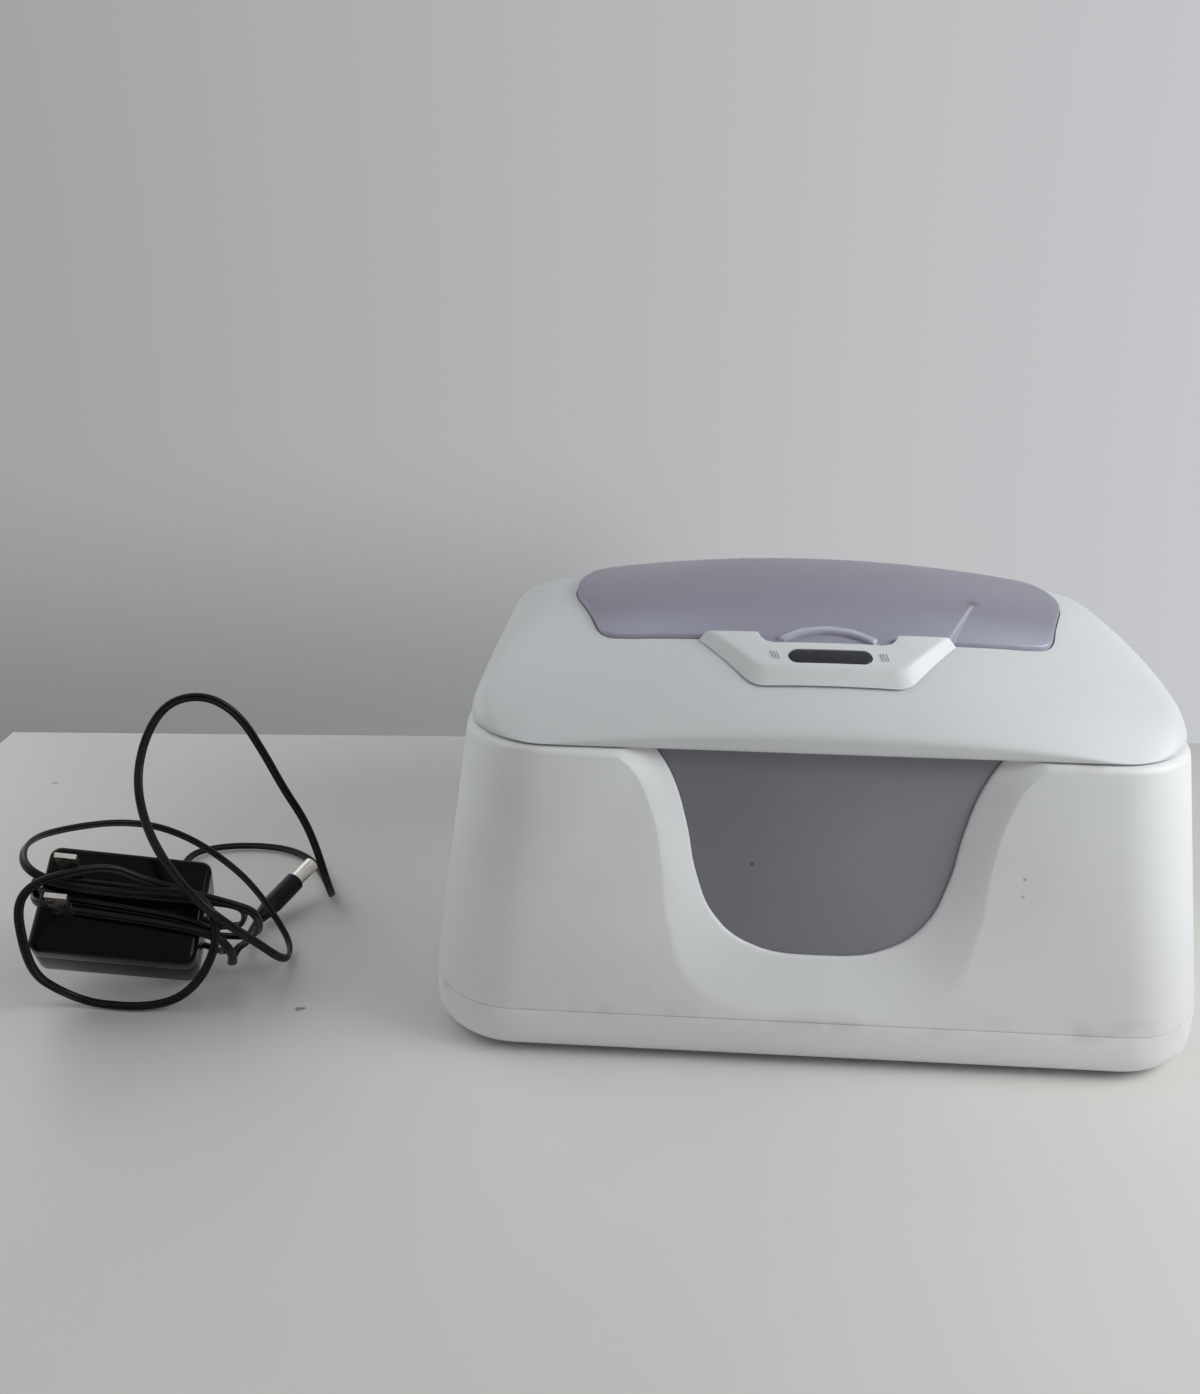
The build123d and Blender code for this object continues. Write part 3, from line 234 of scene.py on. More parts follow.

# ---- Room light ----
# A plain pale room: a window close by on the right with a shaded lamp beside it, the glow of
# a wall on the left, and a light grey wall all round. The wall seen behind has painted light:
# it is lighter towards the window on the right, with a painted shadow low down on the left.
room_tone = (0.962, 1.0, 1.005, 1.0)
wall_left_in_shade = (0.335, 0.335, 0.335, 1.0)
wall_right_in_light = (0.59, 0.595, 0.615, 1.0)
wall_shadow_tone = (0.0, 0.004, 0.0, 1.0)
wall_shadow_share = 0.4
room = bpy.data.worlds.new("room")
bpy.context.scene.world = room
room.use_nodes = True
room_light = room.node_tree.nodes["Background"]
room_light.inputs["Color"].default_value = room_tone
way = node(room, "ShaderNodeSeparateXYZ", node(room, "ShaderNodeTexCoord")).outputs
glow = 0.0
for axis, end, strength in (("X", -1.0, 0.155), ("Y", -1.0, 0.125), ("Z", 1.0, 0.236)):
    glow = maths(room, "ADD", glow, node(room, "ShaderNodeMapRange", way[axis], 0.0, end, 0.0, strength))
room.node_tree.links.new(glow.outputs[0], room_light.inputs["Strength"])
# Painted light on the wall seen behind: darker on the left, lighter towards the window on the right.
from_left = node(room, "ShaderNodeMapRange", way["X"], -0.62, 0.5)
painted_wall_light = node(room, "ShaderNodeMix", from_left, wall_left_in_shade, wall_right_in_light, data_type="RGBA")
# A painted shadow on the wall, low down on the left.
low = eased(room, way["Z"], -0.13, -0.38)
wall_shadow_mask = maths(room, "MULTIPLY", low, eased(room, way["X"], 0.06, -0.12))
wall_shaded = node(room, "ShaderNodeMix", maths(room, "MULTIPLY", wall_shadow_mask, wall_shadow_share), painted_wall_light,
                   wall_shadow_tone, data_type="RGBA")
rays = node(room, "ShaderNodeLightPath").outputs
seen = maths(room, "ADD", rays["Is Camera Ray"], rays["Is Glossy Ray"])
seen = maths(room, "ADD", seen, rays["Is Transmission Ray"])
seen.use_clamp = True
wall_seen = node(room, "ShaderNodeBackground", wall_shaded, 1.0)
wall = node(room, "ShaderNodeMixShader", seen, room_light, wall_seen)
room.node_tree.links.new(wall.outputs[0], room.node_tree.nodes["World Output"].inputs["Surface"])


def hang_lamp(name, place, aim, width, power, tone):
    """A square area lamp at a place, turned towards a point."""
    lamp = bpy.data.lights.new(name, "AREA")
    lamp.size, lamp.energy, lamp.color = width, power, tone
    hung = bpy.data.objects.new(name, lamp)
    hung.location = place
    hung.rotation_euler = (Vector(aim) - Vector(place)).to_track_quat("-Z", "Y").to_euler()
    bpy.context.scene.collection.objects.link(hung)


hang_lamp("window_light", (0.62, -0.42, 0.66), (0, 0, 0.06), 0.4, 1.2, (0.955, 0.995, 1.01))
hang_lamp("shaded_lamp", (0.46, -0.14, 0.36), (0.05, 0, 0.06), 0.3, 1.8, (0.962, 1.0, 1.0))
hang_lamp("pale_wall_glow", (-0.60, 0.12, 0.36), (-0.05, 0, 0.06), 0.8, 1.7, (0.962, 1.0, 1.0))

# ---- Camera ----
# A hand-held camera at the eye height of someone seated at the table. It stands a little to
# the left of the middle, looks down at the warmer and is turned slightly off level.
camera_place = (-0.047103, -0.393320, 0.228101)
camera_dip = math.radians(20.0043)
camera_turn = math.radians(3.4259)
camera_roll = 0.012443
camera_lens = 30.99
camera_sensor = 36.0


def framed(place, across, up, out):
    """The place and turn that lay a flat drawing's own axes along three directions."""
    return Matrix.Translation(place) @ Matrix((across, up, out)).transposed().to_4x4()


ahead = Vector((-math.sin(camera_turn), math.cos(camera_turn), 0))
level = Vector((math.cos(camera_turn), math.sin(camera_turn), 0))
overhead = Vector((0, 0, 1))
sight = ahead * math.cos(camera_dip) - overhead * math.sin(camera_dip)
fall = -(ahead * math.sin(camera_dip) + overhead * math.cos(camera_dip))
picture_right = level * math.cos(camera_roll) - fall * math.sin(camera_roll)
picture_down = fall * math.cos(camera_roll) + level * math.sin(camera_roll)
camera_data = bpy.data.cameras.new("camera")
camera_data.lens = camera_lens
camera_data.sensor_width = camera_sensor
camera_data.clip_start = 0.01
camera = bpy.data.objects.new("camera", camera_data)
camera.matrix_world = framed(camera_place, picture_right, -picture_down, -sight)
bpy.context.scene.collection.objects.link(camera)
bpy.context.scene.camera = camera
bpy.context.scene.view_settings.view_transform = "Standard"

# ---- Base: bottom cover, feet and screws ----
# The bottom cover is injection moulded in off-white plastic with a fine satin texture.
# Four rubber feet are pressed into its underside and four screws hold it to the housing.
shell_white = (0.83, 0.835, 0.84)
seam_beige = (0.62, 0.60, 0.54)
seam_height = 0.0166
foot_stand = 0.0015
band_top = 0.0165
base_size = (0.236, 0.178)
base_corner = 0.028
base_lower_edge = 0.0068
wall_thickness = 0.0024
tray_floor = band_top - 0.0122
tray_fillet = 0.005
edge_break = 0.0003
post_spots = [(sx * 0.099, sy * 0.061) for sx in (-1, 1) for sy in (-1, 1)]
foot_spots = [(sx * 0.084, sy * 0.060) for sx in (-1, 1) for sy in (-1, 1)]
jack_spot = (0.040, 0.0120)
post_radius = 0.0048
screw_hole = 0.0034
foot_socket = 0.0070
jack_hole = 0.0042
band_edge = (0.1169, 0.0879)


def satin_plastic(name, colour, rough=(0.38, 0.5), cloud=16.0):
    """Satin moulded plastic: its colour in three near tones and a fine spark grain."""
    tones = (tuple(c * 0.965 for c in colour), colour, tuple(min(1.0, c * 1.025) for c in colour))
    material = finish(name, tones, cloud, rough, 60.0, (2600.0, 0.05, 0.00006), 4.0)
    material.node_tree.nodes["Principled BSDF"].inputs["IOR"].default_value = 1.49
    return material


def seam_tinted(material, height, reach, scale=55.0):
    """A faint beige tint in patches, strongest at a level seam of the shell and fading out within a reach of
    it.
    """
    where = object_place(material)
    off = maths(material, "SUBTRACT", node(material, "ShaderNodeSeparateXYZ", where).outputs["Z"], height)
    near = node(material, "ShaderNodeMapRange", maths(material, "ABSOLUTE", off), 0.0, reach, 1.0, 0.0)
    patches = node(material, "ShaderNodeTexNoise", where, scale, 5.0)
    patchy = node(material, "ShaderNodeMapRange", patches, 0.5, 0.75)
    tinted(material, maths(material, "MULTIPLY", near, patchy), seam_beige)


def block(name, size, place=(0, 0, 0)):
    """A block of a size at a place, open in edit mode."""
    return begin(bpy.ops.mesh.primitive_cube_add, name, size=1, location=place, scale=size)


def rise(edge):
    """How far an edge climbs."""
    return abs(edge.verts[0].co.z - edge.verts[1].co.z)


def cut(piece, cutter, how="DIFFERENCE"):
    """Cut the piece with a closed cutter, or join it on, and throw the cutter away."""
    settle(cutter)
    hold(piece)
    tool = piece.modifiers.new("cut", "BOOLEAN")
    tool.operation, tool.object, tool.solver = how, cutter, "EXACT"
    bpy.ops.object.modifier_apply(modifier="cut")
    bpy.data.objects.remove(cutter)


def drilled(piece, spots, radius, low, high, how="DIFFERENCE", across=False):
    """Round holes, wells or posts in a piece, each a cylinder between two levels."""
    for x, y in spots:
        place = (x, (low + high) / 2, y) if across else (x, y, (low + high) / 2)
        turn = (math.pi / 2, 0, 0) if across else (0, 0, 0)
        cut(piece, begin(bpy.ops.mesh.primitive_cylinder_add, "drill", vertices=32, radius=radius,
                         depth=high - low, location=place, rotation=turn), how)


def at_level(edge, level):
    """Whether an edge lies at a level and turns a sharp corner there."""
    return all(abs(v.co.z - level) < 1e-5 for v in edge.verts) and edge.calc_face_angle(0) > 1.0


base_cover = block("base_cover", (*base_size, band_top - foot_stand),
                   (0, 0, (foot_stand + band_top) / 2))
rounded(lambda e: rise(e) > 0.01, base_corner, 12)
rounded(lambda e: below(e, foot_stand + 1e-5), base_lower_edge, 7)
pick("FACE", lambda f: f.normal.z > 0.99)
bpy.ops.mesh.inset(thickness=wall_thickness)
extrude(0, 0, tray_floor - band_top)
rounded(lambda e: at_level(e, tray_floor)
        and all(abs(v.co.x) > 0.08 or abs(v.co.y) > 0.06 for v in e.verts), tray_fillet, 4)
rounded(lambda e: at_level(e, band_top) and max(abs(e.verts[0].co.x) / band_edge[0],
                                                abs(e.verts[0].co.y) / band_edge[1]) > 0.999, edge_break, 2)
settle(base_cover)
drilled(base_cover, post_spots, post_radius, 0.003, 0.0163, "UNION")
drilled(base_cover, post_spots, screw_hole, 0.0, 0.0055)
drilled(base_cover, foot_spots, foot_socket, 0.0, 0.0027)
drilled(base_cover, [jack_spot], jack_hole, 0.080, 0.095, across=True)
smooth(base_cover, 40)
base_white = satin_plastic("base_white", shell_white)
seam_tinted(base_white, seam_height, 0.004)
coat_with(base_white, base_cover)
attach(base_cover, "base")
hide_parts("bottom_cover")

foot_tones = ((0.03, 0.03, 0.03), (0.05, 0.05, 0.052))
coat_with(finish("foot_rubber", foot_tones, 90.0, (0.7, 0.85), 60.0, (1500.0, 0.2, 0.0001)), "rubber_feet")
zinc_tones = ((0.52, 0.52, 0.53), (0.66, 0.66, 0.66))
zinc_plate = finish("zinc_plate", zinc_tones, 400.0, (0.28, 0.45), 500.0, (3000.0, 0.1, 0.00005),
                    metallic=1.0)
coat_with(zinc_plate, "base_screws", "liner_screws", "lid_hinge_pins", "cover_hinge_pins",
          "thermostat", "thermal_fuse")

# ---- Outer housing ----
# A drafted one-piece moulding. Its front wall is scooped towards the window in a soft slope,
# and four ears at its rear rim carry the lid's hinge pins.
mm = 0.001
base_half = Vector((0.118, 0.089))
rim_half = Vector((0.1085, 0.075))
housing_low = 0.0166
housing_high = 0.0957
housing_corner = 0.0275
housing_hollow = 0.07
rim_round = 0.0022
rim_inset = 0.0004
hollow_width_y = 0.955
wall_lean = math.atan2(0.014, 0.0799)
wall_out = Vector((0, -math.cos(wall_lean), math.sin(wall_lean)))
wall_up = Vector((0, math.sin(wall_lean), math.cos(wall_lean)))
wall_top = Vector((0, -0.075, 0.0964))
scoop_profile = ((1.18, -6.0), (1.16, -0.02), (1.09, 0.03), (1.03, 0.14), (0.97, 0.35), (0.9, 0.64),
                 (0.8, 1.05), (0.6, 2.0), (0.3, 3.5), (0.09, 4.55), (0.05, 4.76), (0.02, 5.05),
                 (0.0, 5.45), (-0.001, 20.0))
window_half = ((53.0, 4.0), (45.2, -8.0), (40.3, -22.5), (36.9, -38.0), (31.0, -51.0), (20.5, -59.2),
               (0.0, -62.2))
scoop_half = ((76.0, 4.0), (57.5, -5.0), (50.6, -17.5), (47.2, -32.0), (44.2, -52.0), (34.5, -71.5),
              (0.0, -78.5))
ear_places = (-0.0683, -0.0517, 0.0517, 0.0683)
ear_size = (0.004, 0.008, 0.021)
ear_middle = (0.0778, 0.0915)
ear_round = 0.0034
ear_foot_forward = 0.003
loop_fit = 5e-6
smudge_and_shade_tan = (0.55, 0.50, 0.42)
speck_brown = (0.22, 0.15, 0.11)


def drawn_outline(name, corners, steps=6):
    """A closed flat outline as a mesh of edges; each corner is (x, y) or (x, y, "sharp")."""
    bpy.ops.object.select_all(action="DESELECT")
    curve = bpy.data.curves.new(name, "CURVE")
    curve.dimensions = "3D"
    curve.resolution_u = steps
    spline = curve.splines.new("BEZIER")
    spline.bezier_points.add(len(corners) - 1)
    for point, corner in zip(spline.bezier_points, corners):
        point.co = (corner[0] * mm, corner[1] * mm, 0)
        kind = "VECTOR" if len(corner) > 2 else "AUTO"
        point.handle_left_type = point.handle_right_type = kind
    spline.use_cyclic_u = True
    drawn = bpy.data.objects.new(name, curve)
    bpy.context.scene.collection.objects.link(drawn)
    hold(drawn)
    bpy.ops.object.convert(target="MESH")
    drawn = bpy.context.object
    bpy.ops.object.mode_set(mode="EDIT")
    bpy.ops.mesh.select_all(action="SELECT")
    bpy.ops.mesh.remove_doubles(threshold=0.00002)
    return drawn


def drawn_plate(name, corners, thickness, steps=6):
    """A flat outline filled and raised to a plate, open in edit mode."""
    plate = drawn_outline(name, corners, steps)
    bpy.ops.mesh.edge_face_add()
    extrude(0, 0, thickness)
    face_outwards()
    return plate


def u_outline(half):
    """Both halves of a U-shaped outline with its open side up, as places for one closed curve."""
    right = [(*half[0], "sharp")] + list(half[1:-1])
    left = [(-x, *rest) for x, *rest in reversed(right)]
    return right + [half[-1]] + left


def on_wall(depth):
    """The place and turn of a drawing some way in behind the front wall's face."""
    return framed(wall_top - wall_out * depth * mm, Vector((1, 0, 0)), wall_up, wall_out)


def wall_place(v):
    """How far a point lies outside the front wall's plane."""
    return (v.co - wall_top).dot(wall_out)


def scoop_cutter():
    """The scoop's soft crease, its slope and the window's opening, as one closed form."""
    loops = []
    for share, depth in scoop_profile:
        half = [(wx + (sx - wx) * share, wy + (sy - wy) * share)
                for (wx, wy), (sx, sy) in zip(window_half, scoop_half)]
        loop = drawn_outline("scoop_loop", u_outline(half))
        loop.matrix_world = on_wall(depth)
        settle(loop)
        loops.append(loop)
    hold(*loops)
    bpy.ops.object.join()
    bpy.ops.object.mode_set(mode="EDIT")
    depths = [depth * mm for share, depth in scoop_profile]
    for near, far in zip(depths, depths[1:]):
        pick("EDGE", lambda e: all(near - loop_fit < -wall_place(v) < far + loop_fit for v in e.verts))
        bpy.ops.mesh.bridge_edge_loops()
    for cap in (depths[0], depths[-1]):
        pick("EDGE", lambda e: all(abs(wall_place(v) + cap) < loop_fit for v in e.verts))
        bpy.ops.mesh.edge_face_add()
    face_outwards()
    return bpy.context.object


def join_on(piece, part):
    """Make a finished part one with the piece."""
    settle(part)
    hold(piece, part)
    bpy.ops.object.join()


housing = block("housing", (2 * base_half.x, 2 * base_half.y, housing_high - housing_low),
                (0, 0, (housing_low + housing_high) / 2))
pick("FACE", lambda f: f.normal.z > 0.9)
bpy.ops.transform.resize(value=(rim_half.x / base_half.x, rim_half.y / base_half.y, 1))
rounded(lambda e: rise(e) > 0.05, housing_corner, 12)
rounded(lambda e: above(e, housing_high - 0.0001), rim_round, 5)
rounded(lambda e: below(e, housing_low + 0.0001), edge_break, 2)
pick("FACE", lambda f: f.normal.z > 0.99 and f.calc_center_median().z > housing_high - 0.0002)
bpy.ops.mesh.inset(thickness=rim_inset)
bpy.ops.transform.resize(value=(1, hollow_width_y, 1))
extrude(0, 0, -housing_hollow)
settle(housing)
cut(housing, scoop_cutter())
for ear_x in ear_places:
    ear = block("hinge_ear", ear_size, (ear_x, *ear_middle))
    rounded(lambda e: above(e, 0.1) and abs(e.verts[0].co.x - e.verts[1].co.x) > 0.001,
            ear_round, 5)
    pick("FACE", lambda f: f.normal.z < -0.9)
    bpy.ops.transform.translate(value=(0, -ear_foot_forward, 0))
    join_on(housing, ear)
smooth(housing, 40)
housing_white = satin_plastic("housing_white", shell_white)
seam_tinted(housing_white, seam_height, 0.006)
seam_tinted(housing_white, housing_high, 0.003, 70.0)
# Soft tan marks on the left of the front wall: partly a real yellowish smudge, partly painted shade that
# darkens the left panel.
for place, reach, strength in (((-0.0918, -0.0778, 0.0803), 0.014, 0.14),
                               ((-0.0946, -0.0810, 0.0640), 0.017, 0.09),
                               ((-0.0840, -0.0800, 0.0720), 0.011, 0.07)):
    marked(housing_white, place, reach, smudge_and_shade_tan, strength)
for place, reach, strength in (((0.0568, -0.0809, 0.0627), 0.0009, 0.6),
                               ((0.0567, -0.0818, 0.0576), 0.0008, 0.55),
                               ((-0.0500, -0.0870, 0.0260), 0.0008, 0.3)):
    marked(housing_white, place, reach, speck_brown, strength)
coat_with(housing_white, housing)
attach(housing, "base")
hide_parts("outer_housing")

# ---- Front window ----
# A pane of smoke-grey translucent plastic, clipped in behind the scoop. Its raised face fills
# the opening and stands a little back from the scoop's inner edge.
pane_depth = 6.0
pane_thickness = 2.4
pane_gap = 0.15
pane_top = 0.0949
smoke_tones = ((0.228, 0.220, 0.258), (0.268, 0.258, 0.304))
speck_black = (0.03, 0.025, 0.03)
pane_half = [(max(x - pane_gap, 0.0), y + pane_gap) for x, y in window_half]
pane = drawn_plate("front_pane", u_outline(pane_half), pane_thickness * mm)
rounded(lambda e: above(e, 0.9 * pane_thickness * mm), pane_gap * mm, 2)
pane.matrix_world = on_wall(pane_depth + pane_thickness)
settle(pane)
cut(pane, block("pane_trimmer", (0.2, 0.05, 0.02), (0, -0.07, pane_top + 0.01)))
smooth(pane, 35)
window_smoke = finish("window_smoke", smoke_tones, 12.0, (0.16, 0.26), 30.0, (60.0, 0.03, 0.0002))
marked(window_smoke, (-0.0206, -0.0751, 0.0612), 0.0009, speck_black, 0.9)
coat_with(window_smoke, pane)
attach(pane, "base")
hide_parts("front_window")

# ---- Tub, heater and boards ----
# The tub is plain moulded plastic that drops into the housing. The heater stack, boards and
# leads sit under it, in the bottom cover.
fine_grain = (1200.0, 0.1, 0.0001)
felt_grain = (900.0, 0.8, 0.0004)


def part_finish(name, tones, rough, scale=120.0, metallic=0.0, grain=fine_grain):
    """A finish for a small part, with clouds and wear at one scale."""
    return finish(name, tones, scale, rough, scale, grain, metallic=metallic)


inner_white = satin_plastic("inner_white", (0.80, 0.80, 0.78), (0.3, 0.42), 25.0)
coat_with(inner_white, "inner_tub", "heater_tray")
for name, tones, rough, settings, pieces in (
        ("heat_plate_aluminium", ((0.70, 0.71, 0.72), (0.78, 0.78, 0.79)), (0.3, 0.45),
         {"scale": 80.0, "metallic": 1.0}, ("heat_plate",)),
        ("heater_film", ((0.52, 0.26, 0.06), (0.62, 0.34, 0.09)), (0.25, 0.4), {}, ("foil_heater",)),
        ("felted_fibre", ((0.70, 0.68, 0.62), (0.82, 0.80, 0.74)), (0.85, 0.95),
         {"scale": 400.0, "grain": felt_grain}, ("insulation_pad",)),
        ("board_green", ((0.012, 0.085, 0.035), (0.018, 0.12, 0.05)), (0.3, 0.45), {"scale": 300.0},
         ("control_board", "lamp_board", "switch_board", "supply_board")),
        ("device_black", ((0.014, 0.014, 0.015), (0.024, 0.024, 0.026)), (0.4, 0.55), {"scale": 200.0},
         ("dc_jack", "plug_insulator")),
        ("lead_red", ((0.42, 0.02, 0.015), (0.50, 0.035, 0.02)), (0.35, 0.5), {"scale": 150.0},
         ("heater_leads", "lamp_lead")),
        ("soft_grey", ((0.42, 0.44, 0.46), (0.50, 0.52, 0.54)), (0.55, 0.7), {"scale": 60.0},
         ("lid_gasket", "dispensing_seal", "button_dome"))):
    coat_with(part_finish(name, tones, rough, **settings), *pieces)

# ---- Lid shell ----
# One crowned moulding with broad rounded shoulders at its left and right ends. Its top is
# sunk for the flip cover, with a hinge trough behind, and it hangs on two rear knuckles.
lid_bottom = 0.0963
crown_radius = 0.114
crown_axis_z = 0.018
crown_sweep_z = 0.132 - 0.470
lid_half_x = 0.1076
lid_half_y = 0.0738
lid_corner = 0.028
lid_columns = (0, 20, 38, 53, 65, 75, 83.5, 90.5, 96.3, 100.8, 104.2, 106.4, 107.6)
lid_rows = (0, 14, 28, 40, 50, 59, 67, 73.8)
front_roll = 0.0025
roll_reach_x = 0.085
roll_start_y = 0.052
roll_width_y = 0.0218
shoulder_steps = ((0, 3.4), (0.5, 4.6), (1.75, 8), (3.5, 12), (5.75, 15.8), (8.75, 19.5), (12.75, 23.2),
                  (17.75, 26.6), (24, 29.7), (33, 33.2), (47.5, 38), (70, 42))
shoulder_blend = 0.003
cover_half = ((0.0, -46.2), (34.0, -44.9), (52.0, -43.1), (61.5, -41.9), (65.8, -40.6), (68.6, -37.6),
              (70.2, -33.6), (71.6, -29.5), (74.0, -23.0), (77.6, -12.0), (77.9, -3.0), (75.4, 11.0),
              (70.2, 24.0), (58.0, 32.6, "sharp"))
seat_gap = 0.4
seat_rise = -1.7 * mm
hinge_trough = 7.0
mouth_half = (46.0 * mm, 15.0 * mm)
mouth_y = -4.0 * mm


def crown_height(x, y, rise=0.0):
    """Height of the lid's crown over a point of its plan, raised along its normal."""
    profile = crown_axis_z + math.sqrt((crown_radius + rise) ** 2 - y ** 2)
    return crown_sweep_z + math.sqrt((profile - crown_sweep_z) ** 2 - x ** 2)


def shoulder_height(inward):
    """Height of the rounded end shoulder above the lid's rim, some way in from its edge."""
    for (d0, h0), (d1, h1) in zip(shoulder_steps, shoulder_steps[1:]):
        if inward / mm <= d1:
            return mm * (h0 + (h1 - h0) * max(0.0, inward / mm - d0) / (d1 - d0))
    return mm * shoulder_steps[-1][1]


def lid_height(x, y):
    """The lower of crown and shoulder over a point of the lid's plan, softly blended."""
    over = abs(y) - (lid_half_y - lid_corner)
    edge_x = lid_half_x
    if over > 0:
        edge_x -= lid_corner - math.sqrt(max(0.0, lid_corner ** 2 - over ** 2))
    roll = front_roll * max(0.0, 1 - (x / roll_reach_x) ** 2)
    crown = crown_height(x, y) - roll * max(0.0, (abs(y) - roll_start_y) / roll_width_y) ** 2
    shoulder = lid_bottom + shoulder_height(max(0.0, edge_x - abs(x)))
    return (crown + shoulder - math.sqrt((crown - shoulder) ** 2 + shoulder_blend ** 2)) / 2


def rounded_place(x, y):
    """Where a point of the squared-off lid goes when its corners are rounded in plan."""
    over_x = (abs(x) - (lid_half_x - lid_corner)) / lid_corner
    over_y = (abs(y) - (lid_half_y - lid_corner)) / lid_corner
    if over_x <= 0 or over_y <= 0:
        return x, y
    round_x = lid_half_x - lid_corner + lid_corner * over_x * math.sqrt(1 - over_y ** 2 / 2)
    round_y = lid_half_y - lid_corner + lid_corner * over_y * math.sqrt(1 - over_x ** 2 / 2)
    return math.copysign(round_x, x), math.copysign(round_y, y)


def drawn_in(x, y, z):
    """Push the lid's open rim out once more and size it about the lid's underside."""
    bpy.ops.mesh.extrude_edges_move()
    bpy.ops.transform.resize(value=(x, y, z), center_override=(0, 0, lid_bottom))


column_count = 2 * len(lid_columns) - 2
row_count = 2 * len(lid_rows) - 2
lid = begin(bpy.ops.mesh.primitive_grid_add, "lid", size=2, x_subdivisions=column_count,
            y_subdivisions=row_count)
form = bmesh.from_edit_mesh(lid.data)
for v in form.verts:
    column = round(v.co.x * column_count / 2)
    row = round(v.co.y * row_count / 2)
    x, y = rounded_place(math.copysign(lid_columns[abs(column)] * mm, column),
                         math.copysign(lid_rows[abs(row)] * mm, row))
    v.co = (x, y, lid_height(x, y))
bmesh.update_edit_mesh(lid.data)
pick("EDGE", lambda e: e.is_boundary)
drawn_in(1, 1, 0.6)
drawn_in(1, 1, 0.2)
drawn_in(0.9965, 0.995, 0.0)
bpy.ops.object.mode_set(mode="OBJECT")
rounding = lid.modifiers.new("rounding", "SUBSURF")
rounding.levels = rounding.render_levels = 2
bpy.ops.object.modifier_apply(modifier="rounding")
bpy.ops.object.mode_set(mode="EDIT")
pick("EDGE", lambda e: e.is_boundary)
drawn_in(0.975, 0.965, 1.0)
bpy.ops.mesh.extrude_edges_move(TRANSFORM_OT_translate={"value": (0, 0, 0.0026)})
bpy.ops.mesh.edge_face_add()
face_outwards()
settle(lid)


def grown(half, by, trough=0.0):
    """Half a cover outline moved outwards, with its rear edge set back for a hinge trough."""
    moved = []
    for x, y, *rest in half:
        push = by * min(1.0, abs(x) / 50.0)
        deeper = by if y < -30 else (-by - trough if y > 32 else 0.0)
        moved.append((x + push, y - deeper, *rest))
    return moved


def both_sides(half):
    """A right half outline, closed with its mirrored left half; points on the middle aren't doubled."""
    return list(half) + [(-x, y, *rest) for x, y, *rest in reversed(half) if x > 0]


def sliced(reach_x, reach_y, cell):
    """Slice the open piece into cells over its plan, so that it can follow a curve."""
    for across, reach in ((1, reach_x), (0, reach_y)):
        place = -reach
        while place < reach:
            bpy.ops.mesh.select_all(action="SELECT")
            bpy.ops.mesh.bisect(plane_co=(place * across, place * (1 - across), 0),
                                plane_no=(across, 1 - across, 0))
            place += cell


def laid_on_crown(piece, lift):
    """Bend the flat open piece on to the lid's crown, raised by a lift."""
    form = bmesh.from_edit_mesh(piece.data)
    for v in form.verts:
        v.co.z = crown_height(v.co.x, v.co.y, lift + v.co.z)
    bmesh.update_edit_mesh(piece.data)


def crowned_plate(name, corners, low, high, cell=0.005, edge_round=0.0):
    """A plate of some outline between two rises, sliced into cells and laid on the crown."""
    plate = drawn_plate(name, corners, high - low)
    if edge_round:
        rounded(lambda e: above(e, high - low - 1e-6), edge_round, 3)
    sliced(0.08, 0.065, cell)
    laid_on_crown(plate, low)
    return plate


def oval_block(name, half_x, half_y, low, high, place=(0, 0), segments=8):
    """A stadium-shaped block between two heights, open in edit mode."""
    oval = block(name, (2 * half_x, 2 * half_y, high - low), (*place, (low + high) / 2))
    rounded(lambda e: rise(e) > 0.5 * (high - low), half_y, segments)
    bpy.ops.mesh.select_all(action="SELECT")
    bpy.ops.mesh.remove_doubles(threshold=0.00005)
    return oval


def set_on_button(piece, move=Matrix.Identity(4)):
    """Turn a piece modelled flat on to the button's leaning plane, after a move there."""
    piece.matrix_world = button_frame @ move
    settle(piece)


def knuckle_on(piece, name, place, radius, width, arm, facing, vertices):
    """A hinge knuckle across the piece with an arm out of its facing side, joined on."""
    knuckle = begin(bpy.ops.mesh.primitive_cylinder_add, name, vertices=vertices, radius=radius,
                    depth=width, location=place, rotation=(0, math.pi / 2, 0))
    pick("FACE", facing)
    extrude(*arm)
    rounded(lambda e: all(abs(v.co.x - place[0]) > width / 2 - 0.0001 for v in e.verts),
            edge_break, 2)
    join_on(piece, knuckle)


seat_outline = both_sides(grown(cover_half, seat_gap, hinge_trough))
cut(lid, crowned_plate("seat_cutter", seat_outline, seat_rise, 12 * mm))
cut(lid, oval_block("mouth_cutter", *mouth_half, 0.09, 0.15, (0, mouth_y), 10))

button_y = -0.0564
bezel_height = 0.0028
button_half = (12.2 * mm, 2.7 * mm)
well_half = (13.9 * mm, 4.4 * mm)
button_spot = Vector((0, button_y, crown_height(0, button_y, bezel_height)))
button_up = Vector((0, button_y, button_spot.z - crown_axis_z)).normalized()
button_frame = framed(button_spot, Vector((1, 0, 0)), button_up.cross(Vector((1, 0, 0))), button_up)
button_well = oval_block("button_well", *well_half, -6.5 * mm, -2.6 * mm)
set_on_button(button_well)
cut(lid, button_well)
for knuckle_x in (-0.060, 0.060):
    knuckle_on(lid, "lid_knuckle", (knuckle_x, 0.0786, 0.0988), radius=0.0032, width=0.012,
               arm=(0, -0.006, 0.0006), vertices=32,
               facing=lambda f: f.normal.y < -0.8 and abs(f.calc_center_median().x - knuckle_x) < 0.001)
smooth(lid, 40)
coat_with(satin_plastic("lid_white", (0.74, 0.755, 0.765), (0.36, 0.48), 11.0), lid)
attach(lid, "lid")
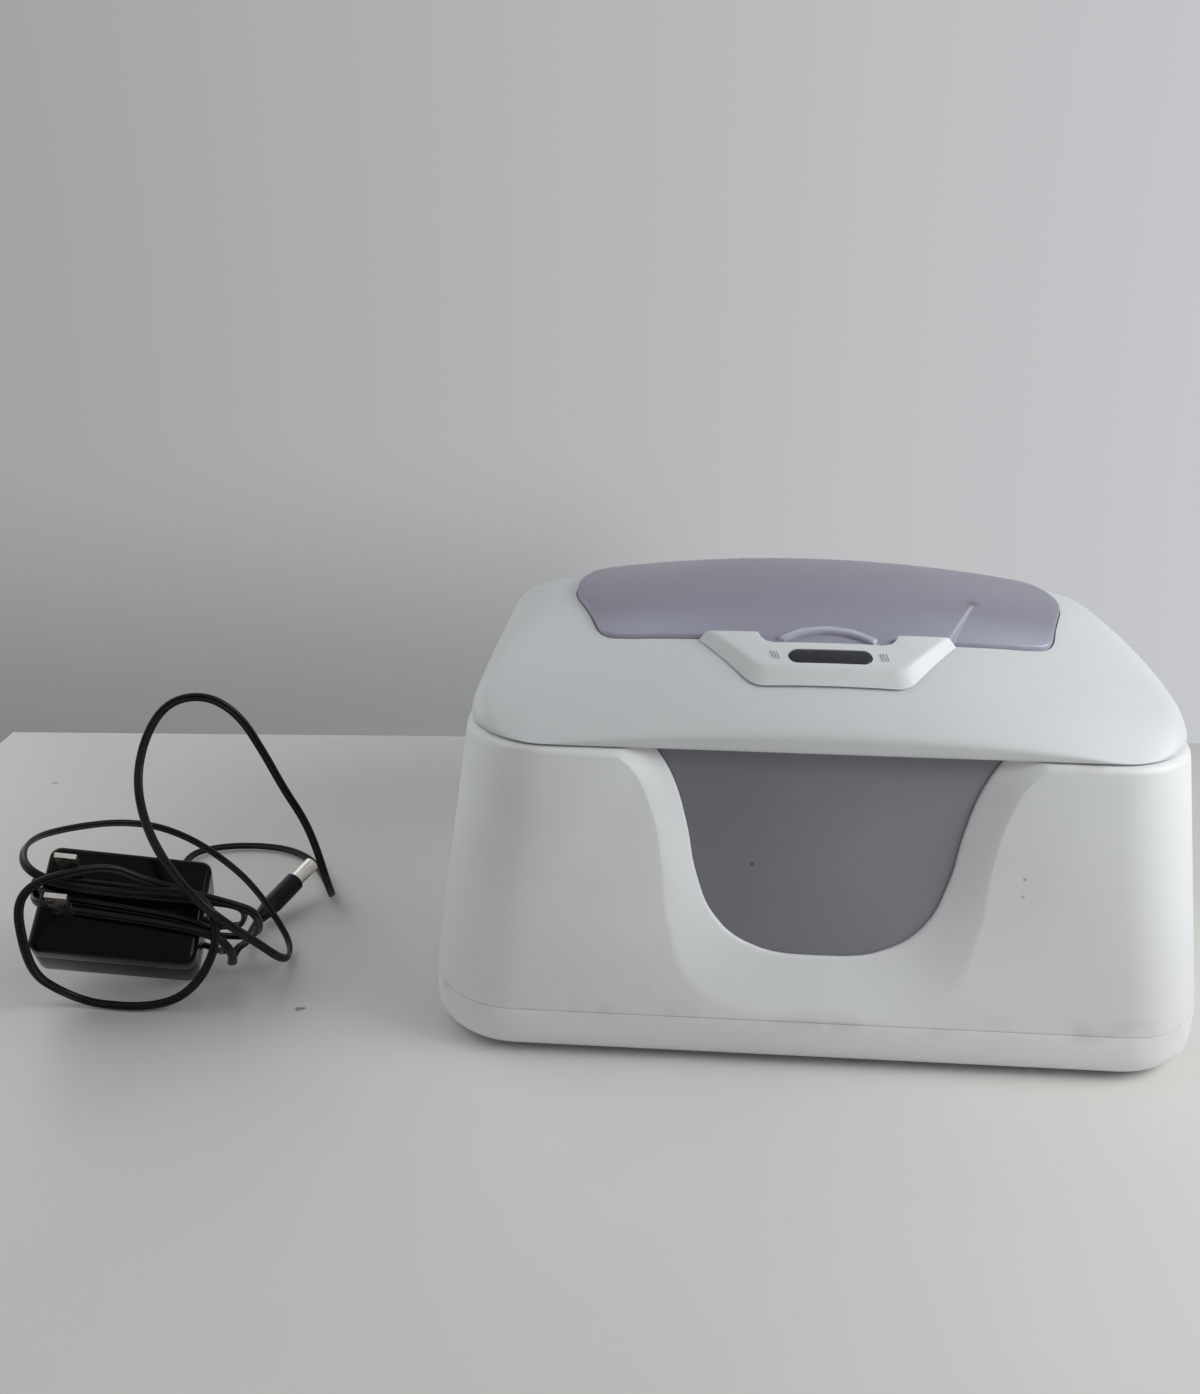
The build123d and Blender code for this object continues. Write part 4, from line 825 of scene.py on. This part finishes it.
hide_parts("lid_shell")

# ---- Lid liner ----
# A flat plate of the same plastic as the tub, screwed up into the lid from below. It carries
# the dispensing mouth's soft seal and closes the lid's hollow.
coat_with(inner_white, "lid_liner")

# ---- Button bezel ----
# A raised trapezoid moulded in the lid's colour and welded on in front of the cover, with
# sloped front and sides and a finger notch at its rear. Three short rays stand at each side
# of the button's oval hole.
bezel_half = ((22.4, -62.6, "sharp"), (38.3, -45.6, "sharp"), (20.6, -46.6, "sharp"),
              (19.8, -48.6, "sharp"), (18.2, -50.3, "sharp"), (15.9, -51.0, "sharp"))
bezel_slope = 3.0 * mm
bezel_middle = -0.055
bezel_fit = 0.1 * mm
ray_size = (0.24 * mm, 3.0 * mm, 0.4 * mm)
ray_places = ((15.0, 0.2), (15.85, 0.3), (16.7, 0.4))
ray_turn = Matrix.Rotation(math.radians(15), 4, "Z")
ray_sunk = 0.14 * mm
ray_round = 0.00008
bezel_taper = 0.93
bezel_corner = 3.0 * mm
bezel_round = 0.7 * mm
bezel = drawn_plate("bezel", both_sides(bezel_half), bezel_height, 1)
pick("VERT", lambda v: v.co.z > 0.001 and v.co.y < bezel_middle)
bpy.ops.transform.translate(value=(0, bezel_slope, 0))
pick("VERT", lambda v: v.co.z > 0.001 and (v.co.y < bezel_middle or abs(v.co.x) > 0.03))
bpy.ops.transform.resize(value=(bezel_taper, 1, 1), center_override=(0, 0, 0))
rounded(lambda e: all(v.co.y < bezel_middle for v in e.verts)
        and abs(e.verts[0].co.x - e.verts[1].co.x) < 0.004, bezel_corner, 5)
rounded(lambda e: above(e, 0.001) and e.calc_face_angle(0) > 0.3, bezel_round, 3)
sliced(0.04, 0.065, 0.004)
laid_on_crown(bezel, -0.0001)
settle(bezel)
bezel_hole = oval_block("bezel_hole", button_half[0] + bezel_fit, button_half[1] + bezel_fit,
                        -6 * mm, 3 * mm)
set_on_button(bezel_hole)
cut(bezel, bezel_hole)
for side in (-1, 1):
    for ray_x, ray_y in ray_places:
        ray = block("ray", ray_size)
        rounded(lambda e: abs(e.verts[0].co.y - e.verts[1].co.y) > 0.001 and e.verts[0].co.z > 0,
                ray_round, 2)
        set_on_button(ray, Matrix.Translation((side * ray_x * mm, ray_y * mm, -ray_sunk)) @ ray_turn)
        join_on(bezel, ray)
smooth(bezel, 30)
coat_with(satin_plastic("bezel_white", (0.78, 0.79, 0.80), (0.36, 0.46), 30.0), bezel)
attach(bezel, "lid")
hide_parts("button_bezel")

# ---- Night-light button ----
# An oval key of glossy near-black plastic with a low domed face. It is sunk a little in the
# bezel and rests on a rubber dome, which lets it sink when pressed.
key_tones = ((0.016, 0.017, 0.021), (0.024, 0.026, 0.031))
key_round = 0.6 * mm
key_dome = 0.12 * mm
button = oval_block("button_oval", *button_half, -4.5 * mm, -0.4 * mm)
rounded(lambda e: above(e, -0.0005), key_round, 4)
pick("FACE", lambda f: f.normal.z > 0.99)
bpy.ops.mesh.inset(thickness=key_round)
bpy.ops.transform.translate(value=(0, 0, key_dome))
set_on_button(button)
smooth(button, 40)
button_black = finish("button_black", key_tones, 150.0, (0.17, 0.25), 200.0, (900.0, 0.03, 0.00005))
coat_with(button_black, button)
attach(button, "button")
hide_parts("light_button")

# ---- Flip cover ----
# A crowned hatch moulded in lavender-grey translucent plastic. A tongue at its front drops into
# the bezel's notch under a raised finger ridge, and two knuckles behind turn on steel pins.
cover_top = 0.8 * mm
cover_under = -1.4 * mm
tongue_half = ((0.0, -50.2), (14.6, -50.2), (16.8, -49.5), (18.3, -48.0), (19.4, -46.1, "sharp"))
ridge_half = ((0.0, -43.1), (8.2, -44.4), (14.8, -47.8, "sharp"), (13.2, -49.6, "sharp"), (7.2, -46.9),
              (0.0, -45.7))
ridge_height = 1.7 * mm
ridge_round = 0.8 * mm
ridge_lift = 0.4 * mm
hinge_y = 0.036
hinge_z = crown_height(0, hinge_y, cover_top) - 0.0022
cover_tones = ((0.265, 0.260, 0.320), (0.298, 0.292, 0.358), (0.322, 0.315, 0.386))
# Painted light: the next tone pales the cover's front edge, and the one after it lays highlights on the
# finger ridge.
cover_painted_light = (0.44, 0.43, 0.54)
ridge_highlight = (0.58, 0.58, 0.70)
scuff_pale = (0.62, 0.62, 0.72)
scuff_dark = (0.13, 0.13, 0.14)
cover_outline = both_sides(tongue_half + cover_half[1:])
cover = crowned_plate("cover", cover_outline, cover_under, cover_top, cell=0.0042, edge_round=0.0005)
settle(cover)
ridge = drawn_plate("finger_ridge", both_sides(ridge_half), ridge_height, 5)
rounded(lambda e: above(e, 0.9 * ridge_height), ridge_round, 4)
laid_on_crown(ridge, ridge_lift)
settle(ridge)
for knuckle_x in (-0.018, 0.018):
    knuckle_on(cover, "cover_knuckle", (knuckle_x, hinge_y, hinge_z), radius=0.0022, width=0.008,
               arm=(0, -0.004, 0.0), vertices=24,
               facing=lambda f: f.normal.y < -0.2 and f.normal.z > 0.2 and abs(f.normal.x) < 0.1)
join_on(cover, ridge)
smooth(cover, 35)
cover_tint = finish("cover_tint", cover_tones, 14.0, (0.29, 0.37), 40.0, (900.0, 0.03, 0.00006), 4.0)
# Painted light: the cover is painted paler towards its front edge, more so towards its sides, where the thin
# edges catch the light.
cover_way = node(cover_tint, "ShaderNodeSeparateXYZ", object_place(cover_tint)).outputs
front_light_share = eased(cover_tint, cover_way["Y"], -0.026, -0.044)
side_light_share = eased(cover_tint, maths(cover_tint, "ABSOLUTE", cover_way["X"]), 0.018, 0.062, 0.28)
tinted(cover_tint, maths(cover_tint, "MULTIPLY", front_light_share, side_light_share), cover_painted_light)


def scratch_and_highlight(material, start, end, half_width, colour, strength):
    """A straight line of colour over the plan from one point to another, used for scratches and for painted
    highlights.
    """
    run = Vector((end[0] - start[0], end[1] - start[1], 0))
    plan = node(material, "ShaderNodeVectorMath", object_place(material), (1, 1, 0), operation="MULTIPLY")
    from_start = node(material, "ShaderNodeVectorMath", plan, (*start, 0), operation="SUBTRACT")
    along = node(material, "ShaderNodeVectorMath", from_start, run / run.length_squared,
                 operation="DOT_PRODUCT")
    nearest = node(material, "ShaderNodeVectorMath", run, node(material, "ShaderNodeClamp", along),
                   operation="SCALE")
    away = node(material, "ShaderNodeVectorMath", from_start, nearest, operation="DISTANCE")
    tinted(material, eased(material, away, 0.0, half_width, strength, 0.0), colour)


# Painted highlights along the top of the finger ridge, on both sides of its middle.
for side in (-1, 1):
    scratch_and_highlight(cover_tint, (side * 0.0138, -0.0485), (side * 0.0080, -0.0454), 0.0017, ridge_highlight, 0.85)
    scratch_and_highlight(cover_tint, (side * 0.0080, -0.0454), (0.0, -0.0441), 0.0017, ridge_highlight, 0.85)
scratch_and_highlight(cover_tint, (0.0358, -0.0455), (0.0470, -0.0245), 0.0008, scuff_pale, 0.8)
scratch_and_highlight(cover_tint, (0.0375, -0.0450), (0.0445, -0.0300), 0.0006, scuff_pale, 0.5)
marked(cover_tint, (0.0474, -0.0225, 0.1282), 0.0032, scuff_dark, 0.7)
coat_with(cover_tint, cover)
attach(cover, "cover")
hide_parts("flip_cover")

# ---- Supply: two glossy shells and flat blades ----
# The plug-in supply is a black block of two shells welded along a seam, polished outside, with
# two nickel blades in its face. It lies on its edge with the face turned up and forward.
supply_middle = Vector((-0.2175, -0.0685, 0.0346))
supply_along = Vector((0.962, 0.201, -0.183)).normalized()
supply_out = Vector((0.271, -0.639, 0.720)).normalized()
supply_frame = framed(supply_middle, supply_along, supply_out.cross(supply_along), supply_out)
supply_size = Vector((0.050, 0.034, 0.025))
supply_corner = 0.0034
supply_seam = -0.009
supply_shine = 0.085
supply_tones = ((0.0022, 0.0024, 0.0024), (0.004, 0.0045, 0.0045))
nickel_tones = ((0.66, 0.62, 0.57), (0.80, 0.76, 0.71))
supply_gloss = finish("supply_gloss", supply_tones, 60.0, (0.16, 0.25), 90.0, (120.0, 0.04, 0.0001))
supply_gloss.node_tree.nodes["Principled BSDF"].inputs["Specular IOR Level"].default_value = supply_shine
for name, low, high, round_low, round_high in (
        ("supply_face_shell", supply_seam, 0.0, edge_break, 0.0022),
        ("supply_rear_shell", -supply_size.z, supply_seam - 0.0001, 0.0026, edge_break)):
    shell = block(name, (supply_size.x, supply_size.y, high - low), (0, 0, (low + high) / 2))
    rounded(lambda e: rise(e) > 0.005, supply_corner, 6)
    rounded(lambda e: above(e, high - 1e-6), round_high, 5)
    rounded(lambda e: below(e, low + 1e-6), round_low, 5)
    shell.matrix_world = supply_frame
    settle(shell)
    smooth(shell, 50)
    coat_with(supply_gloss, shell)
    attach(shell, "base")
    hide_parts("supply_front" if high == 0.0 else "supply_back")
nickel = part_finish("nickel", nickel_tones, (0.2, 0.36), 350.0, metallic=1.0, grain=(1800.0, 0.08, 0.00005))
coat_with(nickel, "supply_prongs", "plug_sleeve")

# ---- Cord ----
# One flat twin lead of soft black vinyl, from the supply's strain relief to the barrel plug. It
# is wound loosely round the supply, and two slack loops of it stand up and lie on the table.
cord_width = 0.0028
cord_thickness = 0.0016
winding_half = (25.9, 13.4)
winding_depth = -12.5
winding_squareness = 0.42
turn_points = 14
vinyl_shine = 0.19
groove_depth = 0.0007
groove_share = 0.05
vinyl_tones = ((0.005, 0.005, 0.007), (0.009, 0.009, 0.012))


def by_supply(u, v, n):
    """A place given along, across and out of the supply's face, in millimetres."""
    return supply_frame @ Vector((u * mm, v * mm, n * mm))


def wound(start, end, across_left, across_right, across_next, lift_start, lift_end, bulge=5.0):
    """Points of a loose turn round the supply, between two shares of the way round.

    Share 0 is the supply's left end, 0.25 its face and 0.5 its right end.
    """
    steps = max(2, round((end - start) * turn_points))
    places = []
    for step in range(steps + 1):
        share = start + (end - start) * step / steps
        angle = math.pi - 2 * math.pi * share
        lift = lift_start + (lift_end - lift_start) * step / steps
        c, s = math.cos(angle), math.sin(angle)
        reach = winding_half[0] + lift + (bulge if c > 0 else 0.6)
        u = math.copysign(reach * abs(c) ** winding_squareness, c)
        n = winding_depth + math.copysign((winding_half[1] + lift) * abs(s) ** winding_squareness, s)
        turned = share % 1.0
        if turned < 0.5:
            v = across_left + (across_right - across_left) * turned / 0.5
        else:
            v = across_right + (across_next - across_right) * (turned - 0.5) / 0.5
        places.append(by_supply(u, v, n))
    return places


standing_loop = [Vector(p) * mm for p in (
    (-223.8, -42.7, 18.9), (-221.0, -26.0, 9.0), (-229.0, -4.0, 3.0), (-237.4, 25.0, 2.0),
    (-228.7, 33.6, 2.0), (-213.2, 36.8, 2.0), (-195.7, 33.9, 2.0), (-181.9, 21.3, 2.0), (-169.3, -3.7, 2.0),
    (-167.8, -14.0, 13.2), (-170.4, -17.0, 31.1), (-173.4, -19.2, 43.0), (-178.6, -21.0, 54.2),
    (-183.9, -24.0, 69.8), (-189.8, -27.0, 84.2), (-199.1, -30.0, 91.9), (-210.9, -33.0, 90.3),
    (-217.7, -38.0, 80.0), (-218.9, -46.0, 66.7), (-212.6, -56.0, 55.3), (-202.5, -66.0, 47.4),
    (-192.4, -73.0, 40.8), (-184.2, -72.0, 32.1), (-178.3, -61.0, 18.1), (-173.2, -48.4, 2.4),
    (-175.0, -37.1, 2.4), (-182.6, -31.0, 10.8), (-192.9, -24.0, 19.2), (-205.1, -17.0, 24.5),
    (-217.4, -14.0, 30.5), (-228.8, -16.0, 36.1), (-239.2, -22.0, 39.8), (-247.7, -32.0, 42.7),
    (-252.8, -44.0, 45.8), (-252.5, -54.3, 48.3), (-249.8, -64.3, 49.8), (-244.6, -73.5, 49.8),
    (-238.3, -76.5, 47.4), (-227.4, -74.0, 42.1))]
table_loop = [Vector(p) * mm for p in (
    (-202.4, -67.3, 38.7), (-195.3, -67.0, 39.1), (-189.0, -68.6, 35.2), (-186.6, -70.9, 28.4),
    (-187.5, -72.6, 21.8), (-190.4, -73.8, 15.2), (-194.8, -74.5, 9.0), (-201.5, -75.5, 4.0),
    (-211.0, -76.3, 2.0), (-220.2, -76.5, 2.0), (-230.9, -75.1, 2.0), (-239.5, -79.7, 10.8),
    (-240.0, -85.6, 19.7), (-239.6, -88.9, 30.5), (-240.8, -87.0, 43.2), (-236.8, -84.3, 49.2),
    (-228.5, -80.3, 51.1), (-218.0, -71.8, 49.8), (-210.2, -66.9, 42.1))]
plug_lead = [Vector(p) * mm for p in (
    (-190.6, -47.0, 6.6), (-189.4, -41.5, 5.2), (-191.9, -31.5, 2.4), (-191.3, -22.0, 3.9))]
cord_exit = by_supply(25.5, 1.8, -16.0)
cord_places = [cord_exit, by_supply(28.8, 1.8, -16.6), by_supply(31.4, 2.0, -19.2),
               by_supply(30.0, 2.4, -24.0)]
cord_places += wound(0.67, 1.0, 2.0, 2.0, 4.4, 0.1, 0.2)
cord_places += wound(0.05, 0.71, 4.6, -9.0, 7.0, 0.3, 1.0, 6.5)
cord_places += standing_loop
cord_places += wound(0.34, 1.0, 1.2, 3.4, 4.4, 3.4, 1.9, 8.5)
cord_places += wound(0.05, 0.235, 5.2, 2.6, 3.0, 2.2, 3.6)
cord_places += table_loop
cord_places += wound(0.36, 1.0, 6.0, 0.4, 0.6, 4.4, 1.2, 13.0)
cord_places += wound(0.05, 0.58, 0.8, -11.5, 0.0, 1.4, 2.2, 8.0)
cord_places += plug_lead
cord_curve = bpy.data.curves.new("cord", "CURVE")
cord_curve.dimensions = "3D"
cord_line = cord_curve.splines.new("NURBS")
cord_line.points.add(len(cord_places) - 1)
for point, place in zip(cord_line.points, cord_places):
    point.co = (*place, 1.0)
cord_line.order_u = 3
cord_line.use_endpoint_u = True
cord_line.resolution_u = 6
cord_curve.bevel_depth = cord_thickness / 2
cord_curve.extrude = (cord_width - cord_thickness) / 2
cord_curve.bevel_resolution = 3
cord_curve.use_fill_caps = True
cord = bpy.data.objects.new("cord", cord_curve)
bpy.context.scene.collection.objects.link(cord)
cord_vinyl = part_finish("cord_vinyl", vinyl_tones, (0.29, 0.42), grain=(500.0, 0.08, 0.0001))
vinyl = cord_vinyl.node_tree.nodes["Principled BSDF"].inputs
vinyl["Specular IOR Level"].default_value = vinyl_shine
around = node(cord_vinyl, "ShaderNodeSeparateXYZ", node(cord_vinyl, "ShaderNodeUVMap")).outputs["Y"]
one_side = maths(cord_vinyl, "FRACT", maths(cord_vinyl, "MULTIPLY", around, 2.0))
off_middle = maths(cord_vinyl, "ABSOLUTE", maths(cord_vinyl, "SUBTRACT", one_side, 0.5))
groove = node(cord_vinyl, "ShaderNodeBump", 1.0, groove_depth, None,
              eased(cord_vinyl, off_middle, 0.0, groove_share), vinyl["Normal"].links[0].from_socket)
cord_vinyl.node_tree.links.new(groove.outputs["Normal"], vinyl["Normal"])
coat_with(cord_vinyl, cord, "strain_relief", "plug_boot")
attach(cord, "base")
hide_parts("cord_winding", "cord_standing_loop", "cord_table_loop", "cord_plug_lead")
